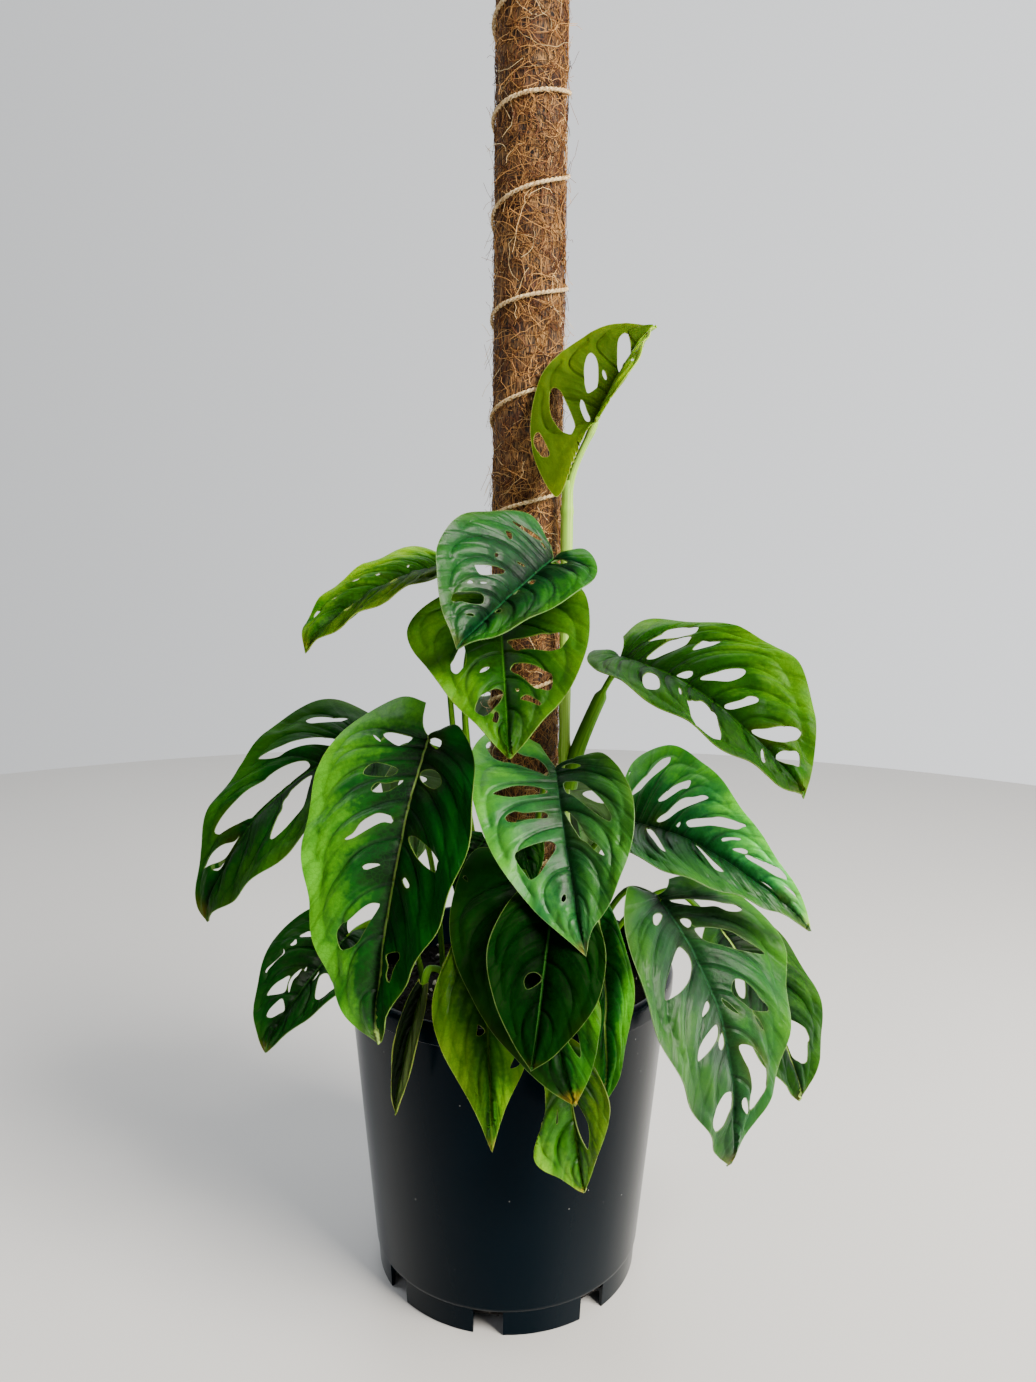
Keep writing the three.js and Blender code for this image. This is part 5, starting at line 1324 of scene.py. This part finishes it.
def fibre_tree():
    """Loose fibres scattered over a flat sheet of coir, which is then wrapped round the pole."""
    tree, given, result = node_group("wrap_fibres", "Radius", "Bottom", "Height", "Per square metre",
                                     "Shortest", "Longest", "Thickness", "Stray")
    value = dict(given.items())
    for step, (key, low, high) in enumerate((
            ("luck", 0.0, 1.0), ("bed", -0.00025, 0.0009), ("shade", 0.0, 1.0),
            ("reach", given["Shortest"], given["Longest"]), ("sway", -1.0, 1.0),
            ("heading", 0.0, 2 * math.pi)), 1):
        seed = add_node(tree, "ShaderNodeMath", {0: given["Seed"], 1: step}, operation="ADD").outputs[0]
        value[key] = add_node(tree, "FunctionNodeRandomValue", {2: low, 3: high, "Seed": seed}).outputs[1]
    for key in ("lift", "bed"):
        value["kept_" + key] = add_node(tree, "GeometryNodeInputNamedAttribute", {"Name": key}).outputs[0]
    value["along"] = add_node(tree, "GeometryNodeSplineParameter").outputs["Factor"]
    place = add_node(tree, "GeometryNodeInputPosition").outputs[0]
    # Small wiggles, about 5 mm long, so that no fibre lies quite smooth.
    wiggle = add_node(tree, "ShaderNodeTexNoise", {
        "Vector": place, "Scale": 200.0, "Detail": 1.0}).outputs["Color"]
    wiggle = add_node(tree, "ShaderNodeVectorMath", {
        0: wiggle, 1: (0.5, 0.5, 0.5)}, operation="SUBTRACT").outputs[0]
    wiggle = add_node(tree, "ShaderNodeVectorMath", {
        0: wiggle, 1: (0.006, 0.006, 0.0012)}, operation="MULTIPLY").outputs[0]
    flat = add_node(tree, "ShaderNodeVectorMath", {0: place, 1: wiggle}, operation="ADD").outputs[0]
    value.update(zip("xyz", add_node(tree, "ShaderNodeSeparateXYZ", {0: flat}).outputs))
    # A place on the flat sheet becomes an angle and a height on the pole; the sums follow one another.
    for key, operation, first, second in (
            ("girth", "MULTIPLY", "Radius", 2 * math.pi), ("rare", "POWER", "luck", 7.0),
            ("lift", "MULTIPLY", "rare", "Stray"), ("bend", "MULTIPLY", "reach", "sway"),
            ("tipped", "POWER", "along", 2.0), ("raised", "MULTIPLY", "kept_lift", "tipped"),
            ("bedded", "ADD", "raised", "kept_bed"), ("height", "ADD", "bedded", "z"),
            ("distance", "ADD", "Radius", "height"), ("angle", "DIVIDE", "x", "Radius"),
            ("half", "MULTIPLY", "Height", 0.5), ("above", "ADD", "y", "half"),
            ("level", "ADD", "above", "Bottom"),
            ("cosine", "COSINE", "angle", 0.0), ("sine", "SINE", "angle", 0.0),
            ("over_x", "MULTIPLY", "distance", "cosine"), ("over_y", "MULTIPLY", "distance", "sine"),
            ("wrap_x", "ADD", "over_x", (POLE["x"] + POT_AXIS[0]) / 1000),
            ("wrap_y", "ADD", "over_y", (POLE["y"] + POT_AXIS[1]) / 1000)):
        value[key] = add_node(tree, "ShaderNodeMath", {
            0: value[first], 1: value.get(second, second)}, operation=operation).outputs[0]
    sheet = add_node(tree, "GeometryNodeMeshGrid", {
        "Size X": value["girth"], "Size Y": given["Height"], "Vertices X": 2, "Vertices Y": 2,
    }).outputs["Mesh"]
    dots = add_node(tree, "GeometryNodeDistributePointsOnFaces", {
        "Mesh": sheet, "Density": given["Per square metre"], "Seed": given["Seed"]}).outputs["Points"]
    for key in ("lift", "bed", "shade"):
        dots = add_node(tree, "GeometryNodeStoreNamedAttribute", {
            "Geometry": dots, "Name": key, "Value": value[key]}).outputs[0]
    bow = add_node(tree, "GeometryNodeCurveQuadraticBezier", {
        "Resolution": 8, "Start": (-0.5, -0.12, 0.0), "Middle": (0.1, 0.5, 0.0), "End": (0.5, -0.2, 0.0),
    }).outputs[0]
    size = add_node(tree, "ShaderNodeCombineXYZ", {0: value["reach"], 1: value["bend"], 2: 1.0}).outputs[0]
    turn = add_node(tree, "ShaderNodeCombineXYZ", {2: value["heading"]}).outputs[0]
    strands = add_node(tree, "GeometryNodeInstanceOnPoints", {
        "Points": dots, "Instance": bow, "Rotation": turn, "Scale": size}).outputs[0]
    strands = add_node(tree, "GeometryNodeRealizeInstances", {"Geometry": strands}).outputs[0]
    wrapped = add_node(tree, "ShaderNodeCombineXYZ", {
        0: value["wrap_x"], 1: value["wrap_y"], 2: value["level"]}).outputs[0]
    strands = add_node(tree, "GeometryNodeSetPosition", {"Geometry": strands, "Position": wrapped}).outputs[0]
    return end_tree(tree, thicken(tree, strands, given["Thickness"]), given["Material"], result)


def fluff_tree():
    """Short hairs that stand out all over a yarn."""
    tree, given, result = node_group("yarn_fluff", "Per square metre", "Length", "Thickness")
    dots = add_node(tree, "GeometryNodeDistributePointsOnFaces", {
        "Mesh": given["Geometry"], "Density": given["Per square metre"], "Seed": given["Seed"]}).outputs
    bow = add_node(tree, "GeometryNodeCurveQuadraticBezier", {
        "Resolution": 5, "Start": (0.0, 0.0, 0.0), "Middle": (0.1, 0.0, 0.5), "End": (0.6, 0.0, 0.8),
    }).outputs[0]
    size = add_node(tree, "FunctionNodeRandomValue", {2: 0.25, 3: 1.0, "Seed": 5}).outputs[1]
    size = add_node(tree, "ShaderNodeMath", {0: size, 1: given["Length"]}, operation="MULTIPLY").outputs[0]
    tilt = add_node(tree, "FunctionNodeRandomValue", {
        0: (-0.9, -0.9, 0.0), 1: (0.9, 0.9, 6.28), "Seed": 6}, data_type="FLOAT_VECTOR").outputs[0]
    tilt = add_node(tree, "FunctionNodeEulerToRotation", {0: tilt}).outputs[0]
    turn = add_node(tree, "FunctionNodeRotateRotation", {
        0: dots["Rotation"], 1: tilt}, rotation_space="LOCAL").outputs[0]
    hairs = add_node(tree, "GeometryNodeInstanceOnPoints", {
        "Points": dots["Points"], "Instance": bow, "Rotation": turn, "Scale": size}).outputs[0]
    hairs = add_node(tree, "GeometryNodeRealizeInstances", {"Geometry": hairs}).outputs[0]
    return end_tree(tree, thicken(tree, hairs, given["Thickness"]), given["Material"], result)


def crumb_tree():
    """Crumbs of bark, peat and perlite scattered where the mix shows."""
    tree, given, result = node_group("mix_crumbs", "Per square metre", "Smallest", "Largest")
    share = add_node(tree, "GeometryNodeInputNamedAttribute", {"Name": "open"}).outputs[0]
    density = add_node(tree, "ShaderNodeMath", {
        0: share, 1: given["Per square metre"]}, operation="MULTIPLY").outputs[0]
    dots = add_node(tree, "GeometryNodeDistributePointsOnFaces", {
        "Mesh": given["Geometry"], "Density": density, "Seed": given["Seed"]}).outputs["Points"]
    shade = add_node(tree, "FunctionNodeRandomValue", {"Seed": 11}).outputs[1]
    dots = add_node(tree, "GeometryNodeStoreNamedAttribute", {
        "Geometry": dots, "Name": "shade", "Value": shade}).outputs[0]
    lump = add_node(tree, "GeometryNodeMeshIcoSphere", {"Radius": 0.5, "Subdivisions": 1}).outputs[0]
    shape = add_node(tree, "FunctionNodeRandomValue", {
        0: (0.5, 0.4, 0.25), 1: (1.3, 0.9, 0.7), "Seed": 12}, data_type="FLOAT_VECTOR").outputs[0]
    size = add_node(tree, "FunctionNodeRandomValue", {"Seed": 13}).outputs[1]
    size = add_node(tree, "ShaderNodeMath", {0: size, 1: 2.5}, operation="POWER").outputs[0]
    size = add_node(tree, "ShaderNodeMapRange", {
        "Value": size, 3: given["Smallest"], 4: given["Largest"]}).outputs[0]
    # Where crumbs lie thickest, in the notches at the foot, they are small and stay inside the wall.
    thick = add_node(tree, "ShaderNodeMath", {0: share, 1: 1.0}, operation="MAXIMUM").outputs[0]
    thick = add_node(tree, "ShaderNodeMath", {0: thick, 1: -0.5}, operation="POWER").outputs[0]
    size = add_node(tree, "ShaderNodeMath", {0: size, 1: thick}, operation="MULTIPLY").outputs[0]
    size = add_node(tree, "ShaderNodeVectorMath", {0: shape, "Scale": size}, operation="SCALE").outputs[0]
    turn = add_node(tree, "FunctionNodeRandomValue", {
        0: (0.0, 0.0, 0.0), 1: (6.28, 6.28, 6.28), "Seed": 14}, data_type="FLOAT_VECTOR").outputs[0]
    lumps = add_node(tree, "GeometryNodeInstanceOnPoints", {
        "Points": dots, "Instance": lump, "Rotation": turn, "Scale": size}).outputs[0]
    return end_tree(tree, lumps, given["Material"], result)


def strand_material(name, dark, light, bright):
    """Dry plant fibre or crumb: matt, and each strand has a tone of its own from its shade attribute."""
    material, tree = new_material(name)
    shade = add_node(tree, "ShaderNodeAttribute", attribute_name="shade").outputs["Fac"]
    first = add_node(tree, "ShaderNodeMapRange", {"Value": shade, 1: 0.0, 2: 0.75}).outputs[0]
    mixed = add_node(tree, "ShaderNodeMix", {
        0: first, 6: (*dark, 1), 7: (*light, 1)}, data_type="RGBA").outputs[2]
    last = add_node(tree, "ShaderNodeMapRange", {"Value": shade, 1: 0.9, 2: 0.97}).outputs[0]
    mixed = add_node(tree, "ShaderNodeMix", {0: last, 6: mixed, 7: (*bright, 1)}, data_type="RGBA").outputs[2]
    shader = add_node(tree, "ShaderNodeBsdfPrincipled", {
        "Base Color": mixed, "Roughness": 0.7, "IOR": 1.5, "Specular IOR Level": 0.25})
    add_node(tree, "ShaderNodeOutputMaterial", {"Surface": shader.outputs[0]})
    return material


class VINE_OT_mix(bpy.types.Operator):
    """Make the potting mix"""

    bl_idname = "vine.make_mix"
    bl_label = "Potting mix"

    def execute(self, context):
        colours, sizes = context.scene.vine_colours, context.scene.vine_sizes
        profile = [(0, 11.2), (75, 11.2), (78.6, 11.2), (78.9, 15.4), (79.1, 17.6), (93.1, 163)]
        shares = np.linspace(0.98, 0.03, 36)
        profile += [(93.1 * share, 165 + 5 * (1 - share ** 2)) for share in shares] + [(0, 170)]
        block = lathe(profile, 150)
        points = block["points"]
        top = np.clip((points[:, 2] - 163) / 2, 0, 1)
        lumps = np.array([noise.fractal(Vector(p / 9), 1.0, 2.0, 4) for p in points])
        points[:, 2] += lumps * 1.9 * top
        # Crumbs lie on the top, and eight times as thick in the notches at the foot.
        foot = (points[:, 2] < 15.6) & (np.linalg.norm(points[:, :2], axis=1) > 78)
        block["fields"] = {"open": np.maximum(top, foot * 8.0)}
        # The mix and its crumbs take these tones, darkened as painted shade under the leaves.
        tones = (colours.mix_dark_and_painted_shade, colours.mix_light_and_painted_shade)
        mix = build_piece("potting_mix_surface", [block], [
            rough_material("bark_and_peat_mix", *tones, 220, 1.2)])
        skin = strand_material("bark_crumbs_and_perlite", *tones, colours.perlite)
        crumbs = grow(new_object("mix_crumbs", mix.data), crumb_tree(), {
            "Per square metre": sizes.crumbs / MIX_AREA, "Smallest": 0.0012, "Largest": 0.0075,
            "Seed": 3, "Material": skin})
        finish_piece(mix, "potting_mix", "soil")
        finish_piece(crumbs, "potting_mix")
        return {"FINISHED"}


class VINE_OT_pole(bpy.types.Operator):
    """Make the coir pole: its matted body and its loose fibres"""

    bl_idname = "vine.make_pole"
    bl_label = "Coir pole"

    def execute(self, context):
        colours, sizes = context.scene.vine_colours, context.scene.vine_sizes
        low, top = POLE["bottom"], POLE["top"]
        wall = [(19.6, z) for z in np.linspace(low + 1, top - 4, 280)]
        profile = [(0, low), (19, low), *wall, (18.5, top - 1), (0, top - 0.5)]
        block = lathe(profile, 96)
        points = block["points"]
        out = points[:, :2] / np.maximum(np.linalg.norm(points[:, :2], axis=1), 1e-6)[:, None]
        lumps = np.array([noise.fractal(Vector((p[0] / 5, p[1] / 5, p[2] / 8)), 1.0, 2.0, 4) for p in points])
        slow = np.array([noise.noise(Vector((p[0] / 30, p[1] / 30, p[2] / 60))) for p in points])
        points[:, :2] += out * (lumps * 0.5 + slow * 0.8)[:, None]
        points += (POLE["x"], POLE["y"], 0)
        pole = build_piece("coir_body", [block], [coir_material()])
        finish_piece(pole, "coir", "coir_pole")
        tones = (colours.coir_dark_and_gap_shade, colours.coir_brown, colours.coir_light, colours.coir_pale)
        skins = {"brown_fibres": ("dark_coir_fibre", *tones[:3]),
                 "golden_fibres": ("golden_coir_fibre", *tones[1:])}
        area = 2 * math.pi * POLE["radius"] / 1000 * CLAD["Height"]
        for name, look in FIBRES.items():
            piece = new_object(name, bpy.data.meshes.new(name))
            grow(piece, fibre_tree(), {
                "Radius": (POLE["radius"] - 0.15) / 1000, "Per square metre": sizes.fibres / area,
                "Material": strand_material(*skins[name]), **CLAD, **look})
            finish_piece(piece, "coir")
        return {"FINISHED"}


def coir_material():
    """Matted coconut fibre: brown hairs lying every way over near-black gaps, darker fibre below with the
    shade between the hairs painted in. Quite matt.
    """
    colours = bpy.context.scene.vine_colours
    material, tree = new_material("matted_coir")
    place = add_node(tree, "ShaderNodeTexCoord").outputs["Object"]
    mats = []
    # Each of three noises is squeezed one way, so it draws hairs 0.6 mm wide and about 5 mm long.
    for turn in ((0.5, 0.3, 0.0), (-0.6, 0.9, 0.7), (1.3, -0.4, 1.9)):
        hair = add_node(tree, "ShaderNodeMapping", {
            "Vector": place, "Rotation": turn, "Scale": (1.0, 1.0, 0.13)}).outputs[0]
        hair = add_node(tree, "ShaderNodeTexNoise", {
            "Vector": hair, "Scale": 1300.0, "Detail": 2.0}).outputs["Fac"]
        mats.append(hair)
    mat = add_node(tree, "ShaderNodeMath", {0: mats[0], 1: mats[1]}, operation="MAXIMUM").outputs[0]
    mat = add_node(tree, "ShaderNodeMath", {0: mat, 1: mats[2]}, operation="MAXIMUM").outputs[0]
    patch = add_node(tree, "ShaderNodeTexNoise", {
        "Vector": place, "Scale": 60.0, "Detail": 4.0}).outputs["Fac"]
    share = add_node(tree, "ShaderNodeMapRange", {"Value": mat, 1: 0.5, 2: 0.75}).outputs[0]
    tone = add_node(tree, "ShaderNodeMapRange", {"Value": patch, 1: 0.35, 2: 0.65}).outputs[0]
    hairs = add_node(tree, "ShaderNodeMix", {
        0: tone, 6: (*colours.coir_brown, 1), 7: (*colours.coir_light, 1)}, data_type="RGBA").outputs[2]
    # Painted shade: the gaps between the hairs take the darkest coir, for the shade that falls between them.
    mixed = add_node(tree, "ShaderNodeMix", {
        0: share, 6: (*colours.coir_dark_and_gap_shade, 1), 7: hairs}, data_type="RGBA").outputs[2]
    bump = add_node(tree, "ShaderNodeBump", {"Strength": 0.8, "Distance": 0.0012, "Height": mat}).outputs[0]
    shader = add_node(tree, "ShaderNodeBsdfPrincipled", {
        "Base Color": mixed, "Roughness": 0.85, "Normal": bump, "IOR": 1.5})
    add_node(tree, "ShaderNodeOutputMaterial", {"Surface": shader.outputs[0]})
    return material


def twine_path(steps):
    """The twine's route up the pole, and the height at each turn."""
    turns = np.linspace(-TWINE["turns"], 0, steps)
    count = len(PASSES) - 1 + turns + TWINE["end_turn"] / 2 / np.pi
    height = np.interp(count, np.arange(len(PASSES)), PASSES)
    height += TWINE["back_lift"] / 2 * (1 - np.cos(2 * np.pi * count))
    angle = turns * 2 * np.pi + TWINE["end_turn"]
    return angle, height


class VINE_OT_twine(bpy.types.Operator):
    """Make the two-ply jute twine that is wound up the pole"""

    bl_idname = "vine.make_twine"
    bl_label = "Twine"

    def execute(self, context):
        colours = context.scene.vine_colours
        angle, height = twine_path(1700)
        blocks = []
        for ply in (0, 1):
            # The points lie 0.9 mm apart along the twine.
            twist = np.arange(len(angle)) * 0.9 / TWINE["twist"] * 2 * np.pi + ply * np.pi
            radius = TWINE["path_radius"] - 0.5 + TWINE["ply_offset"] * np.cos(twist)
            points = np.stack([POLE["x"] + radius * np.cos(angle), POLE["y"] + radius * np.sin(angle),
                               height + TWINE["ply_offset"] * np.sin(twist)], axis=1)
            blocks.append(tube(points, TWINE["ply_radius"], 6))
        tones = (colours.twine_dark, colours.twine_light)
        twine = build_piece("two_ply_twine", blocks, [rough_material("jute_yarn", *tones, 900, 0.4)])
        skin = strand_material("jute_hairs", *tones, colours.twine_light)
        fluff = grow(new_object("twine_fluff", twine.data), fluff_tree(), {
            "Per square metre": 110000, "Length": 0.0035, "Thickness": 0.00006, "Seed": 5, "Material": skin})
        finish_piece(twine, "jute", "jute_twine")
        finish_piece(fluff, "jute")
        return {"FINISHED"}


class VINE_OT_stems(bpy.types.Operator):
    """Make the two rooted stems"""

    bl_idname = "vine.make_stems"
    bl_label = "Stems"

    def execute(self, context):
        colours = context.scene.vine_colours
        material = stalk_material("stem_skin", colours.stem, colours.stem_streak)
        for name, route in STEMS.items():
            path = smooth_path(route, 160)
            reach = travel(path)
            ring = np.abs((reach + 12) % STEM["ring_spacing"] - STEM["ring_spacing"] / 2)
            radii = STEM["radius"] + STEM["ring_rise"] * np.exp(-(ring / STEM["ring_width"]) ** 2)
            radii += 0.15 * np.sin(reach / 7)
            piece = build_piece("vine_" + name, [tube(path, radii, 20)], [material])
            finish_piece(piece, "stem_green", name)
        return {"FINISHED"}


class VINE_OT_leaves(bpy.types.Operator):
    """Make every leaf, each a pierced blade with its stalk"""

    bl_idname = "vine.make_leaves"
    bl_label = "Leaves"

    def execute(self, context):
        colours = context.scene.vine_colours
        skins = {tone: leaf_material(f"waxy_leaf_{tone}", tone) for tone in TONES}
        stalk = stalk_material("stalk_skin", colours.stalk, colours.stalk_streak)
        young_stalk = stalk_material("young_stalk_skin", colours.stem, colours.stem_streak)
        slots = {part["node"]: part["material_slot"] for part in frame["record"]["subparts"]}
        for name, leaf in LEAVES.items():
            materials = [skins[leaf["tone"]], young_stalk if leaf["tone"] == "young" else stalk]
            piece = build_piece("vine_" + name, [blade_block(name, leaf), stalk_block(leaf)], materials)
            finish_piece(piece, slots[name], name)
        return {"FINISHED"}


class VINE_OT_stage(bpy.types.Operator):
    """Make the floor, the studio light and the camera"""

    bl_idname = "vine.make_stage"
    bl_label = "Stage"

    def execute(self, context):
        scene = context.scene
        bm = bmesh.new()
        bmesh.ops.create_circle(bm, cap_ends=True, segments=128, radius=1.7)
        mesh = bpy.data.meshes.new("studio_floor")
        bm.to_mesh(mesh)
        bm.free()
        floor = new_object("studio_floor", mesh)
        material, tree = new_material("painted_floor")
        paint = {"Base Color": linear("#d2d1ce"), "Roughness": 0.4}
        shader = add_node(tree, "ShaderNodeBsdfPrincipled", paint)
        add_node(tree, "ShaderNodeOutputMaterial", {"Surface": shader.outputs[0]})
        mesh.materials.append(material)
        world = bpy.data.worlds.new("studio_air")
        world.use_nodes = True
        world.node_tree.nodes.clear()
        # The studio's soft light comes mostly from behind the plant and from its right.
        tree = world.node_tree
        toward = add_node(tree, "ShaderNodeTexCoord").outputs["Object"]
        toward = add_node(tree, "ShaderNodeSeparateXYZ", {"Vector": toward}).outputs
        behind = add_node(tree, "ShaderNodeMapRange", {
            "Value": toward[1], 1: -0.1, 2: 0.75, 3: 0.13, 4: 1.3,
        }, interpolation_type="SMOOTHSTEP").outputs[0]
        beside = add_node(tree, "ShaderNodeMapRange", {
            "Value": toward[0], 1: -0.7, 2: 0.7, 3: 0.6, 4: 1.35}).outputs[0]
        power = add_node(tree, "ShaderNodeMath", {0: behind, 1: beside}, operation="MULTIPLY").outputs[0]
        air = add_node(tree, "ShaderNodeBackground", {"Color": linear("#eceef0"), "Strength": power})
        add_node(tree, "ShaderNodeOutputWorld", {"Surface": air.outputs[0]})
        scene.world = world
        for name, (place, size, power, code) in LAMPS.items():
            light = bpy.data.lights.new(name, "AREA")
            light.shape = "SQUARE"
            light.size = size
            light.energy = power
            light.color = linear(code)[:3]
            lamp = new_object(name, light)
            lamp.visible_camera = False
            lamp.location = place
            lamp.rotation_euler = (Vector(AIM) - Vector(place)).to_track_quat("-Z", "Y").to_euler()
        lens = bpy.data.cameras.new("photo_view")
        lens.lens = CAMERA["lens"]
        lens.sensor_width = CAMERA["sensor"]
        lens.clip_start = 0.01
        camera = new_object("photo_view", lens)
        camera.matrix_world = Matrix.Translation(CAMERA["place"]) @ Matrix.Rotation(
            math.radians(CAMERA["tilt"]), 4, "X") @ Matrix.Rotation(math.radians(CAMERA["turn"]), 4, "Z")
        scene.camera = camera
        return {"FINISHED"}


OPERATORS = (
    VINE_OT_pot, VINE_OT_mix, VINE_OT_pole, VINE_OT_twine, VINE_OT_stems, VINE_OT_leaves, VINE_OT_stage)


class VINE_PT_panel(bpy.types.Panel):
    """The plant's sizes, colours and pieces"""

    bl_idname = "VINE_PT_panel"
    bl_label = "Potted vine"
    bl_space_type = "VIEW_3D"
    bl_region_type = "UI"
    bl_category = "Vine"

    def draw(self, context):
        column = self.layout.column()
        for group in (context.scene.vine_sizes, context.scene.vine_colours):
            for key in group.bl_rna.properties.keys():
                if key not in ("rna_type", "name"):
                    column.prop(group, key)
        for operator in OPERATORS:
            column.operator(operator.bl_idname)


CLASSES = (VineSizes, VineColours, *OPERATORS, VINE_PT_panel)


def register():
    """Makes the add-on's classes and its settings known."""
    for cls in CLASSES:
        bpy.utils.register_class(cls)
    bpy.types.Scene.vine_sizes = PointerProperty(type=VineSizes)
    bpy.types.Scene.vine_colours = PointerProperty(type=VineColours)


def unregister():
    """Takes the add-on's classes and its settings away."""
    del bpy.types.Scene.vine_colours
    del bpy.types.Scene.vine_sizes
    for cls in reversed(CLASSES):
        bpy.utils.unregister_class(cls)


def main():
    register()
    bpy.ops.vine.make_pot()
    bpy.ops.vine.make_mix()
    bpy.ops.vine.make_pole()
    bpy.ops.vine.make_twine()
    bpy.ops.vine.make_stems()
    bpy.ops.vine.make_leaves()
    bpy.ops.vine.make_stage()


if __name__ == "__main__":
    main()
